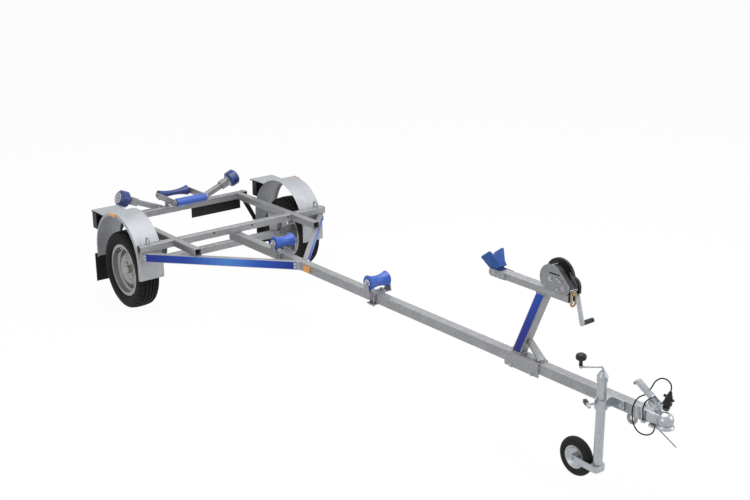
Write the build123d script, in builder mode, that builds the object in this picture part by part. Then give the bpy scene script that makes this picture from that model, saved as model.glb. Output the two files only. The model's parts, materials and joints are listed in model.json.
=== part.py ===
import os
from math import cos, pi, radians, sin, sqrt, tan

from build123d import *

os.makedirs("parts", exist_ok=True)

# Small unbraked boat trailer on two road wheels and a jockey wheel.
# +X is forward, towards the coupling, +Y is the left side, +Z is up, and the floor is z = 0.
# Places along the trailer are given ahead of the road wheels' axis and moved by axle_x.

# Fits
run_gap = 0.08
seat_gap = 0.3
side_play = 5

# Road wheels
rim_d = 330
sidewall = 108
tyre_width = 155
tread_inset = 21.5
shoulder_width = 11
shoulder_drop = 9
crown_drop = 2
belly_rise = 34
bead_inset = 1
rim_width = 116
flange_rise = 17
rim_sheet = 4
well_drop = 20
well_in = 28
well_out = 24
well_slope = 11
disc_sheet = 6
disc_out = 18
ridge_rise = 16
ridge_half = 15
ridge_out = 44
vent_r = 8.5
vent_count = 16
hub_r = 52
hub_reach = 55
hub_chamfer = 13
cap_r = 30
cap_reach = 30
bolt_circle = 100
wheel_bolts = 4
wheel_bolt_r = 10
wheel_bolt_height = 7
track = 1354
stub_r = 15
stub_shoulder = 9
stub_short = 6
socket_end = 2

# Chassis tubes
drawbar_size = 60
drawbar_wall = 4
drawbar_top = 474
drawbar_back = 250
tip_behind = 102
tube_wall = 3
tube_corner = 6
beam_size = 50
rail_gap = 72
rail_tip = 592
rear_beam_gap = 10
outrigger_short = 1
brace_width = 34
brace_front = 1090
brace_inset = 24

# Axle below the rails
axle_tube_size = 50
axle_tube_ahead = 70
axle_tube_drop = 134
arm_gap = 9.5
arm_thickness = 28
arm_r = 32
saddle_plate = 5
saddle_half_top = 70
saddle_side = 12

# Mudguards
guard_sheet = 2.5
guard_room = 46
bump_travel = 86
guard_ahead = -34
guard_in_room = 18.5
guard_out_room = 10.5
guard_front_bottom = 270
guard_rear_bottom = 290
guard_lip = 22
lip_bend = 10
guard_seat = 2.5
shelf_reach = 35
shelf_drop = 52
shelf_inward = 15
shelf_edge = 14
pad_width = 60
pad_height = 30
pad_reach = 40
flap_bottom = 105
flap_lap = 22
flap_thickness = 5
flap_in = 9
flap_out = 14
stay_width = 36
stay_sheet = 6
stay_reach = 68
stay_inset = 12

# Lamps and plate
lamp_depth = 58
lamp_height = 121
lamp_inset = 9
lamp_corner = 8
lamp_border = 8
neck_inset = 30
lens_depth = 11
lens_rows = 3
lens_gap = 2
marker_length = 84
marker_depth = 9
marker_lean = 4
drawbar_marker = (66, 40)
drawbar_marker_ahead = 110
plate_inset = 56
plate_width = 430
plate_height = 80
plate_sheet = 6
plate_flange = 40

# Lashing loops and safety eye
loop_leg = 22
loop_straight = 22
loop_rod_r = 5
loop_inset = 70
eye_r = 24
eye_rod_r = 7.5
eye_behind = 196
eye_foot = (60, 20, 6)

# Rollers
pin_r = 8
pin_end = 6
cheek_sheet = 6
keel_roller_ahead = {"rear": 880, "front": 1890}
keel_rise = 74
keel_roller_length = 150
keel_roller_r = 48
keel_waist_r = 34
keel_edge = 6
clamp_plate = 6
bracket_depth = 64
clamp_bolt_r = 5
clamp_bolt_gap = 7
clamp_bolt_end = 10
cradle_rise = 50
cradle_arm_r = 23
stern_reach = 142
stern_length = 250
stern_r = 38
stern_waist_r = 20
stern_edge = 5
cradle_roller_reach = 122
cradle_roller_r = 31
wobble_tilt = 22
wobble_arm_size = 40
wobble_foot_y = 150
wobble_foot_rise = 3
wobble_y = 465
wobble_r = 60
wobble_width = 80
wobble_edge = 14
wobble_hub_r = 38
wobble_dish = 10
wobble_gap = 20
wobble_clamp = 54
wobble_clamp_sheet = 8

# Winch stand
saddle_behind = 74
saddle_before = 176
saddle_drop = 18
saddle_sheet = 6
saddle_bolt_inset = 50
saddle_bolt_end = 8
post_depth = 64
post_width = 60
post_behind = 976
post_rake = 166
gusset_rise = 108
gusset_width = 36
gusset_sheet = 8
head_behind = 298
head_before = 189
head_rise = 431
head_height = 40
head_width = 60
cheek_behind = 62
cheek_lap = 40
stop_cheek = 4
stop_lean = 25
stop_depth = 56
stop_foot = 14
stop_waist = 30
stop_half = 90
stop_wing = 60
stop_wing_rise = 96
stop_rise = 112
stop_notch = 66
stop_pin_r = 6
stop_behind = 64
stop_sink = 25

# Hand winch
winch_before = 68
winch_rise = 60
winch_plate_r = 76
winch_plate_sheet = 4
winch_gap = 58
winch_slot = (72, 8)
winch_slot_ahead = 25
winch_slot_rise = 31
winch_base = (42, 100)
tie_r = 5
tie_turn = (100, 168)
strap_r = 54
strap_width = 46
strap_sheet = 4
strap_hang = 11
strap_end_rise = 24.3
core_r = 24
shaft_reach = 87
shaft_rise = 30
shaft_plate_r = 40
shaft_r = 7
shaft_end = 10
cover_depth = 19
cover_r = 95
cover_shaft_r = 49
cover_edge = 5
crank_length = 202
crank_lean = 15.2
crank_width = 28
crank_sheet = 8
crank_stand = 6
grip_r = 13
grip_length = 78
hook_height = 90
hook_width = 40
hook_rod = 11
hook_stand = 2

# Jockey wheel
jockey_behind = 315
jockey_y = -97
jockey_tube_r = 24
jockey_tube_wall = 3
jockey_tube_foot = 17
jockey_tube_rise = 123
jockey_trail = 140
jockey_wheel_r = 105
jockey_wheel_width = 50
jockey_rim_r = 62
jockey_rim_edge = 5
jockey_wall_rise = 12
jockey_dish_r = 44
jockey_boss_r = 19
jockey_disc = 8
jockey_pin_r = 8
fork_sheet = 5
fork_play = 6
fork_block = 36
fork_corner = 16
spindle_length = 180
clamp_height = 50
clamp_ring = 9
clamp_foot = (130, 30)
clamp_neck = 40
clamp_stem = (7, 34)
clamp_stem_run = (-0.5, -0.86, 0)
clamp_bar = (76, 16, 14)
collar_rise = 2.5
collar_height = 26
cone_height = 24
cone_taper = 28
crank_rod_r = 6
crank_rise = 46
crank_arm = (-69, -84)
crank_eye = 2
knob_height = 66
knob_stem_r = 12
knob_r = 25

# Coupling
coupling_lap = 52
coupling_sheet = 5
ball_ahead = 4080
ball_rise = 32
ball_r = 25.3
ball_seat = 6
dome_r = 42
neck_reach = 46
neck_size = (62, 62, 14)
cup_size = (74, 64, 24)
skirt = 4
lug_half = 11
lug_r = 12
handle_width = 28
handle_height = 22
handle_reach = 46
handle_rise = 38
handle_length = (126, 76)
handle_bar_start = 0.35
curl_r = 9
curl_bore_r = 4.5
curl_drop = (12, 9)
clip_size = (34, 40, 12)
clip_gap = 8
lead_clip = (20, 14, 14)

# The cable to the towing car's socket, its short lead and the coupling's safety wire
cable_r = 3.5
plug_length = 100
plug_r = 20
ferrule_r = 5
wire_r = 2.5
wire_bushing = 22

# Places along the drawbar, from the wheels' axis
drawbar_tip = ball_ahead - tip_behind
coupling_back = drawbar_tip - coupling_lap
jockey_ahead = ball_ahead - jockey_behind
eye_ahead = ball_ahead - eye_behind
post_base_ahead = ball_ahead - post_behind
saddle_back = post_base_ahead - saddle_behind
saddle_front = post_base_ahead + saddle_before
post_top_ahead = post_base_ahead + post_rake
head_back = post_top_ahead - head_behind
head_front = post_top_ahead + head_before
cheek_back = head_back - cheek_behind
cheek_front = head_back + cheek_lap
stop_back = head_back - stop_behind
winch_ahead = post_top_ahead + winch_before

# Worked out from the sizes above
tyre_r = rim_d / 2 + sidewall
axle_z = tyre_r
wheel_y = track / 2
drawbar_half = drawbar_size / 2
drawbar_bottom = drawbar_top - drawbar_size
drawbar_mid_z = drawbar_top - drawbar_half
beam_top = drawbar_top + beam_size
beam_mid_z = drawbar_top + beam_size / 2
guard_in = wheel_y - tyre_width / 2 - guard_in_room
guard_out = wheel_y + tyre_width / 2 + guard_out_room
guard_width = guard_out - guard_in
guard_mid = (guard_out + guard_in) / 2
guard_r = tyre_r + guard_room
guard_centre_z = axle_z + bump_travel
guard_back = guard_ahead - guard_r
shelf_in = guard_in - shelf_inward
rail_y = guard_in - rail_gap - beam_size / 2
rail_in = rail_y - beam_size / 2
rail_out = rail_y + beam_size / 2
guard_at_beam = guard_ahead + sqrt(guard_r ** 2 - (drawbar_top - guard_centre_z) ** 2)
front_beam_back = guard_at_beam + guard_seat
front_beam_ahead = front_beam_back + beam_size / 2
rear_beam_front = guard_back - stay_reach
rear_beam_ahead = rear_beam_front - beam_size / 2
stern_ahead = rear_beam_ahead - stern_reach
nose_ahead = ball_ahead + dome_r
axle_x = -(nose_ahead + stern_ahead - stern_r) / 2


def ahead(distance):
    return axle_x + distance


def write(part, name):
    part.label = name
    export_step(part, f"parts/{name}.step")


def write_pair(right, name):
    write(right, f"{name}_right")
    write(mirror(right, about=Plane.XZ), f"{name}_left")


def write_both(right, name):
    with BuildPart() as both:
        add(right)
        mirror(about=Plane.XZ)
    write(both.part, name)


def spin_plane(x, y, z, side=1, tilt=0):
    # Local x is the outboard axis of a wheel or roller, local y its radius.
    a = radians(tilt)
    return Plane((x, y, z), x_dir=(0, side * cos(a), sin(a)), z_dir=(side, 0, 0))


def along(start, end):
    # Local z runs from start to end, local x is level, local y points up.
    run = (Vector(*end) - Vector(*start)).normalized()
    return Plane(start, x_dir=Vector(0, 0, 1).cross(run).normalized(), z_dir=run)


def box_tube(plane, width, height, length, wall=tube_wall):
    with BuildPart() as tube:
        with BuildSketch(plane):
            RectangleRounded(width, height, tube_corner)
            RectangleRounded(width - 2 * wall, height - 2 * wall, tube_corner - wall, mode=Mode.SUBTRACT)
        extrude(amount=length)
    return tube.part


def turned(plane, outline):
    # A closed outline of (along the axis, radius) points turned about the plane's local x.
    with BuildPart() as body:
        with BuildSketch(plane):
            with BuildLine():
                Polyline(*outline, close=True)
            make_face()
        revolve(axis=Axis(plane.origin, plane.x_dir))
    return body.part


def waisted_roller(plane, half, end_r, waist_r, edge):
    with BuildPart() as roller:
        with BuildSketch(plane):
            with BuildLine():
                bore = Line((half, pin_r + run_gap), (-half, pin_r + run_gap))
                back_end = Line(bore @ 1, (-half, end_r - edge))
                back_edge = Line(back_end @ 1, (-half + edge, end_r))
                waist = ThreePointArc(back_edge @ 1, (0, waist_r), (half - edge, end_r))
                front_edge = Line(waist @ 1, (half, end_r - edge))
                Line(front_edge @ 1, bore @ 0)
            make_face()
        revolve(axis=Axis(plane.origin, plane.x_dir))
    return roller.part


# Drawbar
drawbar = box_tube(
    along((ahead(drawbar_back), 0, drawbar_mid_z), (ahead(drawbar_tip), 0, drawbar_mid_z)),
    drawbar_size, drawbar_size, drawbar_tip - drawbar_back, drawbar_wall)
write(drawbar, "drawbar")

# V braces from the drawbar's sides to the ends of the front beam
outrigger_half = guard_out - outrigger_short
brace_start = Vector(ahead(brace_front), -drawbar_half, drawbar_mid_z)
brace_end = Vector(ahead(front_beam_ahead), -outrigger_half + brace_inset, drawbar_mid_z)
brace_run = (brace_end - brace_start).normalized()
brace_length = (brace_end - brace_start).length + 2 * brace_width
brace_tube = box_tube(
    along(tuple(brace_start - brace_run * brace_width), tuple(brace_end)),
    brace_width, drawbar_size, brace_length)
with BuildPart() as brace:
    add(brace_tube)
    split(bisect_by=Plane.XZ.offset(drawbar_half), keep=Keep.TOP)
    split(bisect_by=Plane.YZ.offset(ahead(front_beam_ahead)), keep=Keep.TOP)
write_pair(brace.part, "v_brace")

# Side rails, and the beams that meet them at the front and the rear
rail_start = (ahead(rear_beam_front), -rail_y, beam_mid_z)
rail_end = (ahead(rail_tip), -rail_y, beam_mid_z)
write_pair(box_tube(along(rail_start, rail_end), beam_size, beam_size, rail_tip - rear_beam_front), "side_rail")

front_beam_x = ahead(front_beam_ahead)
with BuildPart() as front_beam:
    add(box_tube(along((front_beam_x, -rail_in, beam_mid_z), (front_beam_x, rail_in, beam_mid_z)),
                 beam_size, beam_size, 2 * rail_in))
    for side in (-1, 1):
        inner = (front_beam_x, side * rail_out, beam_mid_z)
        outer = (front_beam_x, side * outrigger_half, beam_mid_z)
        add(box_tube(along(inner, outer), beam_size, beam_size, outrigger_half - rail_out))
    # A pad behind each end, hollowed to the mudguard that it carries
    for pad_y in (guard_mid - pad_width / 2, -guard_mid - pad_width / 2):
        with BuildSketch(Plane.XZ.offset(-pad_y)):
            with Locations((ahead(front_beam_back), beam_mid_z)):
                Rectangle(pad_reach, pad_height, align=(Align.MAX, Align.CENTER))
            with Locations((ahead(guard_ahead), guard_centre_z)):
                Circle(guard_r + seat_gap, mode=Mode.SUBTRACT)
        extrude(amount=-pad_width)
write(front_beam.part, "front_beam")

rear_beam_x = ahead(rear_beam_ahead)
rear_beam_half = shelf_in - rear_beam_gap
rear_beam = box_tube(
    along((rear_beam_x, -rear_beam_half, beam_mid_z), (rear_beam_x, rear_beam_half, beam_mid_z)),
    beam_size, beam_size, 2 * rear_beam_half)
write(rear_beam, "rear_beam")

# Axle tube with its two saddles below the rails
axle_tube_half = wheel_y - tyre_width / 2 - arm_gap - arm_thickness
axle_mid_z = drawbar_top - axle_tube_drop - axle_tube_size / 2
axle_tube_x = ahead(axle_tube_ahead)
saddle_half_foot = axle_tube_size / 2 + saddle_side
with BuildPart() as axle_beam:
    add(box_tube(along((axle_tube_x, -axle_tube_half, axle_mid_z), (axle_tube_x, axle_tube_half, axle_mid_z)),
                 axle_tube_size, axle_tube_size, 2 * axle_tube_half))
    for cheek_y in (-rail_out, -rail_in - saddle_plate, rail_in, rail_out - saddle_plate):
        with BuildSketch(Plane.XZ.offset(-cheek_y)):
            with BuildLine():
                Polyline(
                    (axle_tube_x - saddle_half_top, drawbar_top),
                    (axle_tube_x + saddle_half_top, drawbar_top),
                    (axle_tube_x + saddle_half_foot, axle_mid_z),
                    (axle_tube_x - saddle_half_foot, axle_mid_z),
                    close=True)
            make_face()
            with Locations((axle_tube_x, axle_mid_z)):
                Rectangle(axle_tube_size - tube_wall, axle_tube_size - tube_wall, mode=Mode.SUBTRACT)
        extrude(amount=-saddle_plate)
    for side in (-1, 1):
        with Locations((axle_tube_x, side * rail_y, drawbar_top - saddle_plate / 2)):
            Box(2 * saddle_half_top, beam_size, saddle_plate)
write(axle_beam.part, "axle_beam")

# Trailing arms with the stubs that the road wheels turn on
shoulder_end = wheel_y - hub_reach - side_play
arm_out = axle_tube_half + arm_thickness
with BuildPart() as stub_axle:
    with BuildSketch(Plane.XZ.offset(axle_tube_half)):
        with Locations((axle_tube_x, axle_mid_z), (ahead(0), axle_z)):
            Circle(arm_r)
        make_hull()
    extrude(amount=arm_thickness)
    for step_r, step_end in ((stub_r + stub_shoulder, shoulder_end), (stub_r, wheel_y - stub_short)):
        with BuildSketch(Plane.XZ.offset(arm_out)):
            with Locations((ahead(0), axle_z)):
                Circle(step_r)
        extrude(amount=step_end - arm_out)
write_pair(stub_axle.part, "stub_axle")

# Road wheels: a tyre on a pressed steel rim whose disc carries the hub
bead_r = rim_d / 2
flange_r = bead_r + flange_rise
bead_half = rim_width / 2 - bead_inset
rim_half = rim_width / 2 + rim_sheet
well_r = bead_r - well_drop
tread_half = tyre_width / 2 - tread_inset
shoulder_half = tread_half + shoulder_width
bead_top = flange_r + bead_inset
ridge_r = hub_r + ridge_out
ridge_w = disc_out + ridge_rise
disc_flat_r = ridge_r - ridge_half - well_slope
for side_name, side in (("right", -1), ("left", 1)):
    wheel_plane = spin_plane(ahead(0), side * wheel_y, axle_z, side)
    wheel_axis = Axis(wheel_plane.origin, wheel_plane.x_dir)
    with BuildPart() as tyre:
        with BuildSketch(wheel_plane):
            with BuildLine():
                seat = Line((-bead_half, bead_r + seat_gap), (bead_half, bead_r + seat_gap))
                outer_bead = Line(seat @ 1, (bead_half, bead_top))
                outer_wall = ThreePointArc(
                    outer_bead @ 1, (tyre_width / 2, flange_r + belly_rise),
                    (shoulder_half, tyre_r - shoulder_drop))
                outer_shoulder = Line(outer_wall @ 1, (tread_half, tyre_r - crown_drop))
                tread = ThreePointArc(outer_shoulder @ 1, (0, tyre_r), (-tread_half, tyre_r - crown_drop))
                inner_shoulder = Line(tread @ 1, (-shoulder_half, tyre_r - shoulder_drop))
                inner_wall = ThreePointArc(
                    inner_shoulder @ 1, (-tyre_width / 2, flange_r + belly_rise), (-bead_half, bead_top))
                Line(inner_wall @ 1, seat @ 0)
            make_face()
        revolve(axis=wheel_axis)
    write(tyre.part, f"tyre_{side_name}")

    with BuildPart() as rim:
        with BuildSketch(wheel_plane):
            with BuildLine():
                Polyline(
                    (-rim_half, flange_r), (-rim_width / 2, flange_r), (-rim_width / 2, bead_r),
                    (-well_in, bead_r), (-well_in + well_slope, well_r), (well_out - well_slope, well_r),
                    (well_out, bead_r), (rim_width / 2, bead_r), (rim_width / 2, flange_r), (rim_half, flange_r),
                    (rim_half, bead_r - rim_sheet), (well_out + rim_sheet, bead_r - rim_sheet),
                    (well_out - well_slope + rim_sheet, well_r - rim_sheet),
                    (-well_in + well_slope - rim_sheet, well_r - rim_sheet),
                    (-well_in - rim_sheet, bead_r - rim_sheet), (-rim_half, bead_r - rim_sheet), close=True)
            make_face()
        revolve(axis=wheel_axis)
        with BuildSketch(wheel_plane):
            with BuildLine():
                Polyline(
                    (0, well_r - rim_sheet / 2), (ridge_w - disc_sheet, ridge_r + ridge_half), (ridge_w, ridge_r),
                    (ridge_w - disc_sheet, ridge_r - ridge_half), (disc_out, disc_flat_r), (disc_out, cap_r),
                    (disc_out - disc_sheet, cap_r), (disc_out - disc_sheet, disc_flat_r),
                    (ridge_w - 2 * disc_sheet, ridge_r - ridge_half), (ridge_w - disc_sheet, ridge_r),
                    (ridge_w - 2 * disc_sheet, ridge_r + ridge_half), (-disc_sheet, well_r - rim_sheet / 2),
                    close=True)
            make_face()
        revolve(axis=wheel_axis)
        with BuildSketch(wheel_plane):
            with BuildLine():
                Polyline(
                    (-hub_reach, stub_r + run_gap), (-hub_reach, hub_r - hub_chamfer),
                    (-hub_reach + hub_chamfer, hub_r), (disc_out - disc_sheet, hub_r),
                    (disc_out - disc_sheet, cap_r), (disc_out + cap_reach - disc_sheet, cap_r - disc_sheet / 2),
                    (disc_out + cap_reach, cap_r - 2 * disc_sheet), (disc_out + cap_reach, 0), (socket_end, 0),
                    (socket_end, stub_r + run_gap), close=True)
            make_face()
        revolve(axis=wheel_axis)
        face_plane = Plane(wheel_plane.origin, x_dir=(1, 0, 0), z_dir=wheel_plane.x_dir)
        with BuildSketch(face_plane):
            with PolarLocations(ridge_r + vent_r, vent_count):
                Circle(vent_r)
        extrude(amount=rim_width / 2, mode=Mode.SUBTRACT)
        with BuildSketch(face_plane.offset(disc_out)):
            with PolarLocations(bolt_circle / 2, wheel_bolts, start_angle=180 / wheel_bolts):
                RegularPolygon(wheel_bolt_r, 6)
        extrude(amount=wheel_bolt_height)
    write(rim.part, f"rim_{side_name}")


# Mudguards: one rolled section carried over the wheel and down both legs, with a flat shelf over the lamp
def guard_section(side):
    # Local x is the distance from the arch's axis, local y the place across the trailer.
    with BuildLine() as section:
        top = Line((guard_r, side * guard_in), (guard_r, side * (guard_out - lip_bend)))
        roll = TangentArc(top @ 1, (guard_r - lip_bend, side * guard_out), tangent=top % 1)
        lip = Line(roll @ 1, (guard_r - guard_lip, side * guard_out))
        edge = Line(lip @ 1, (guard_r - guard_lip, side * (guard_out - guard_sheet)))
        lip_back = Line(edge @ 1, (guard_r - lip_bend, side * (guard_out - guard_sheet)))
        roll_back = TangentArc(
            lip_back @ 1, (guard_r - guard_sheet, side * (guard_out - lip_bend)), tangent=lip_back % 1)
        under = Line(roll_back @ 1, (guard_r - guard_sheet, side * guard_in))
        Line(under @ 1, top @ 0)
    return section.line


guard_centre = (ahead(guard_ahead), 0, guard_centre_z)
guard_top = guard_centre_z + guard_r
shelf_top = guard_top - shelf_drop
shelf_back = guard_back - shelf_reach
shelf_mid_z = shelf_top - guard_sheet / 2
shelf_front = guard_ahead - sqrt((guard_r - guard_sheet / 2) ** 2 - (shelf_mid_z - guard_centre_z) ** 2)
shelf_mid_y = -(shelf_in + guard_out) / 2
front_section = Plane(guard_centre, x_dir=(1, 0, 0), z_dir=(0, 0, -1))
rear_section = Plane(guard_centre, x_dir=(-1, 0, 0), z_dir=(0, 0, -1))
with BuildPart() as fender:
    with BuildSketch(front_section):
        with BuildLine():
            add(guard_section(1))
        make_face()
    revolve(axis=Axis(guard_centre, (0, -1, 0)), revolution_arc=180)
    with BuildSketch(front_section):
        with BuildLine():
            add(guard_section(1))
        make_face()
    extrude(amount=guard_centre_z - guard_front_bottom)
    with BuildSketch(rear_section):
        with BuildLine():
            add(guard_section(-1))
        make_face()
    extrude(amount=guard_centre_z - guard_rear_bottom)
    with Locations((ahead((shelf_back + shelf_front) / 2), shelf_mid_y, shelf_mid_z)):
        Box(shelf_front - shelf_back, guard_out - shelf_in, guard_sheet)
    with Locations((ahead(shelf_back + guard_sheet / 2), shelf_mid_y, shelf_top - shelf_edge / 2)):
        Box(guard_sheet, guard_out - shelf_in, shelf_edge)
write_pair(fender.part, "fender")

# Mud flaps behind the mudguards' rear legs
flap_top = guard_rear_bottom + flap_lap
flap_inner = guard_in + flap_in
flap_outer = guard_out + flap_out
with BuildPart() as mud_flap:
    flap_y, flap_z = -(flap_inner + flap_outer) / 2, (flap_bottom + flap_top) / 2
    with Locations((ahead(guard_back - flap_thickness / 2), flap_y, flap_z)):
        Box(flap_thickness, flap_outer - flap_inner, flap_top - flap_bottom)
write_both(mud_flap.part, "mud_flaps")

# Black stays from the rear beam's front face down to the mudguards' rear legs
stay_in = guard_in + stay_inset
stay_foot = ahead(guard_back - flap_thickness)
with BuildPart() as stay:
    with BuildSketch(Plane.YZ.offset(ahead(rear_beam_front))):
        with BuildLine():
            Polyline(
                (-rail_out, beam_top), (-rail_out - stay_width, beam_top),
                (-rail_out - stay_width, drawbar_top - stay_inset),
                (-stay_in - stay_width, guard_rear_bottom + stay_inset),
                (-stay_in - stay_width, guard_rear_bottom), (-stay_in, guard_rear_bottom),
                (-stay_in, guard_rear_bottom + stay_inset), (-rail_out, drawbar_top - 2 * stay_inset),
                close=True)
        make_face()
    extrude(amount=stay_sheet)
    with Locations((stay_foot, -stay_in - stay_width / 2, guard_rear_bottom)):
        Box(stay_reach - flap_thickness, stay_width, stay_sheet, align=(Align.MAX, Align.CENTER, Align.MIN))
write_both(stay.part, "fender_stays")

# Tail lamps below the shelves, their lenses to the rear
lamp_top = shelf_top - guard_sheet - shelf_edge
lamp_back = shelf_back - lamp_inset
lamp_width = guard_width - 2 * lamp_inset
with BuildPart() as lamp:
    with Locations((ahead(lamp_back + lamp_depth / 2), -guard_mid, lamp_top - lamp_height / 2)):
        Box(lamp_depth, lamp_width, lamp_height)
    fillet(lamp.edges().filter_by(Axis.X), radius=lamp_corner)
    with Locations((ahead(lamp_back + lamp_depth / 2 + lamp_inset / 2), -guard_mid, lamp_top + shelf_edge)):
        Box(lamp_depth - 2 * lamp_inset, lamp_width - 2 * neck_inset, 2 * shelf_edge,
            align=(Align.CENTER, Align.CENTER, Align.MAX))
write_both(lamp.part, "tail_lamps")

lens_pitch = (lamp_height - 2 * lamp_border) / lens_rows
with BuildPart() as lenses:
    for side in (-1, 1):
        for row in range(lens_rows):
            lens_z = lamp_top - lamp_border - lens_pitch * (row + 0.5)
            with Locations((ahead(lamp_back - lens_depth / 2), side * guard_mid, lens_z)):
                Box(lens_depth, lamp_width - 2 * lamp_border, lens_pitch - lens_gap)
write(lenses.part, "tail_lenses")

# Amber markers on the mudguards' lips and on the drawbar's sides
marker_angle = radians(marker_lean)
lip_r = guard_r - guard_lip / 2
marker_at = (ahead(guard_ahead) - lip_r * sin(marker_angle), guard_centre_z + lip_r * cos(marker_angle))
with BuildPart() as markers:
    for side in (-1, 1):
        with BuildSketch(Plane.XZ.offset(guard_out if side < 0 else -guard_out - marker_depth)):
            with Locations(marker_at):
                RectangleRounded(marker_length, guard_lip, guard_lip / 4)
        extrude(amount=marker_depth)
        with BuildSketch(Plane.XZ.offset(drawbar_half if side < 0 else -drawbar_half - marker_depth)):
            with Locations((ahead(brace_front + drawbar_marker_ahead), drawbar_mid_z)):
                RectangleRounded(*drawbar_marker, tube_corner)
        extrude(amount=marker_depth)
write(markers.part, "side_markers")

# Number plate holder below the rear beam's left half
plate_mid = rear_beam_half - plate_inset - plate_width / 2
with BuildPart() as plate_holder:
    with BuildSketch(Plane.YZ.offset(rear_beam_x)):
        with Locations((plate_mid, drawbar_top - plate_height / 2)):
            Rectangle(plate_width, plate_height)
    extrude(amount=plate_sheet)
    with Locations((rear_beam_x, plate_mid, drawbar_top - plate_sheet / 2)):
        Box(plate_flange, plate_width, plate_sheet)
write(plate_holder.part, "plate_holder")

# Lashing loops on the front beam's ends
loop_y = outrigger_half - loop_inset
loop_top = beam_top + loop_straight
with BuildPart() as lashing_loop:
    with BuildLine() as loop_path:
        up = Line((front_beam_x - loop_leg, -loop_y, beam_top), (front_beam_x - loop_leg, -loop_y, loop_top))
        bow = ThreePointArc(
            up @ 1, (front_beam_x, -loop_y, loop_top + loop_leg), (front_beam_x + loop_leg, -loop_y, loop_top))
        Line(bow @ 1, (front_beam_x + loop_leg, -loop_y, beam_top))
    with BuildSketch(Plane((front_beam_x - loop_leg, -loop_y, beam_top))):
        Circle(loop_rod_r)
    sweep(path=loop_path.line)
write_both(lashing_loop.part, "lashing_loops")

# Ring on a foot below the drawbar, behind the coupling
eye_z = drawbar_bottom - eye_foot[2] / 2 - eye_r - eye_rod_r / 2
with BuildPart() as safety_eye:
    with BuildSketch(Plane.XZ.offset(-eye_rod_r)):
        with Locations((ahead(eye_ahead), eye_z)):
            Circle(eye_r + eye_rod_r)
            Circle(eye_r - eye_rod_r, mode=Mode.SUBTRACT)
    extrude(amount=2 * eye_rod_r)
    fillet(safety_eye.edges().filter_by(GeomType.CIRCLE).group_by(SortBy.RADIUS)[-1], radius=0.8 * eye_rod_r)
    with Locations((ahead(eye_ahead), 0, drawbar_bottom)):
        Box(*eye_foot, align=(Align.CENTER, Align.CENTER, Align.MAX))
    split(bisect_by=Plane.XY.offset(drawbar_bottom), keep=Keep.BOTTOM)
write(safety_eye.part, "safety_eye")

# Keel rollers in brackets that are clamped round the drawbar
keel_roller_z = drawbar_top + keel_rise
cheek_in = keel_roller_length / 2 + side_play
cheek_out = cheek_in + cheek_sheet
clamp_bolt_y = drawbar_half + clamp_bolt_r + clamp_bolt_gap
clamp_top = drawbar_top + clamp_plate
clamp_bottom = drawbar_bottom - clamp_plate
for place, roller_ahead in keel_roller_ahead.items():
    roller_x = ahead(roller_ahead)
    with BuildPart() as bracket:
        for plate_z, reach in ((drawbar_top, cheek_out), (clamp_bottom, clamp_bolt_y + 2 * clamp_bolt_gap)):
            with Locations((roller_x, 0, plate_z)):
                Box(bracket_depth, 2 * reach, clamp_plate, align=(Align.CENTER, Align.CENTER, Align.MIN))
        for cheek_y in (cheek_in, -cheek_out):
            with BuildSketch(Plane.XZ.offset(-cheek_y)):
                with BuildLine():
                    Polyline(
                        (roller_x - bracket_depth / 2, drawbar_top), (roller_x + bracket_depth / 2, drawbar_top),
                        (roller_x + 2 * pin_r, keel_roller_z), (roller_x - 2 * pin_r, keel_roller_z), close=True)
                make_face()
                with Locations((roller_x, keel_roller_z)):
                    Circle(2 * pin_r)
            extrude(amount=-cheek_sheet)
        with BuildSketch(Plane.XZ.offset(-cheek_out - pin_end)):
            with Locations((roller_x, keel_roller_z)):
                Circle(pin_r)
        extrude(amount=2 * (cheek_out + pin_end))
        with BuildSketch(Plane.XY.offset(clamp_bottom - clamp_bolt_end)):
            with Locations((roller_x, 0)):
                with GridLocations(bracket_depth / 2, 2 * clamp_bolt_y, 2, 2):
                    Circle(clamp_bolt_r)
        extrude(amount=clamp_top - clamp_bottom + 2 * clamp_bolt_end)
    write(bracket.part, f"keel_bracket_{place}")
    roller = waisted_roller(
        spin_plane(roller_x, 0, keel_roller_z), keel_roller_length / 2, keel_roller_r, keel_waist_r, keel_edge)
    write(roller, f"keel_roller_{place}")

# Rear cradle: two arms on the rear beam with a roller at either end
cradle_z = beam_top + cradle_rise
cradle_in = stern_length / 2 + side_play
cradle_pins = ((ahead(stern_ahead), cradle_z), (ahead(rear_beam_ahead + cradle_roller_reach), cradle_z))
with BuildPart() as cradle:
    for arm_y in (cradle_in, -cradle_in - cheek_sheet):
        with BuildSketch(Plane.XZ.offset(-arm_y)):
            with Locations(*cradle_pins):
                Circle(cradle_arm_r)
            make_hull()
            with Locations((rear_beam_x, beam_top)):
                Rectangle(beam_size, cradle_rise, align=(Align.CENTER, Align.MIN))
        extrude(amount=-cheek_sheet)
    with BuildSketch(Plane.XZ.offset(-cradle_in - cheek_sheet)):
        with Locations(*cradle_pins):
            Circle(pin_r)
    extrude(amount=2 * (cradle_in + cheek_sheet))
write(cradle.part, "cradle_arms")

stern_half = stern_length / 2
stern_roller = waisted_roller(
    spin_plane(ahead(stern_ahead), 0, cradle_z), stern_half, stern_r, stern_waist_r, stern_edge)
write(stern_roller, "stern_roller")

cradle_edge_r = cradle_roller_r - stern_edge
cradle_roller = turned(spin_plane(cradle_pins[1][0], 0, cradle_z), (
    (-stern_half, pin_r + run_gap), (-stern_half, cradle_edge_r), (-stern_half + stern_edge, cradle_roller_r),
    (stern_half - stern_edge, cradle_roller_r), (stern_half, cradle_edge_r), (stern_half, pin_r + run_gap)))
write(cradle_roller, "cradle_roller")

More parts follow.
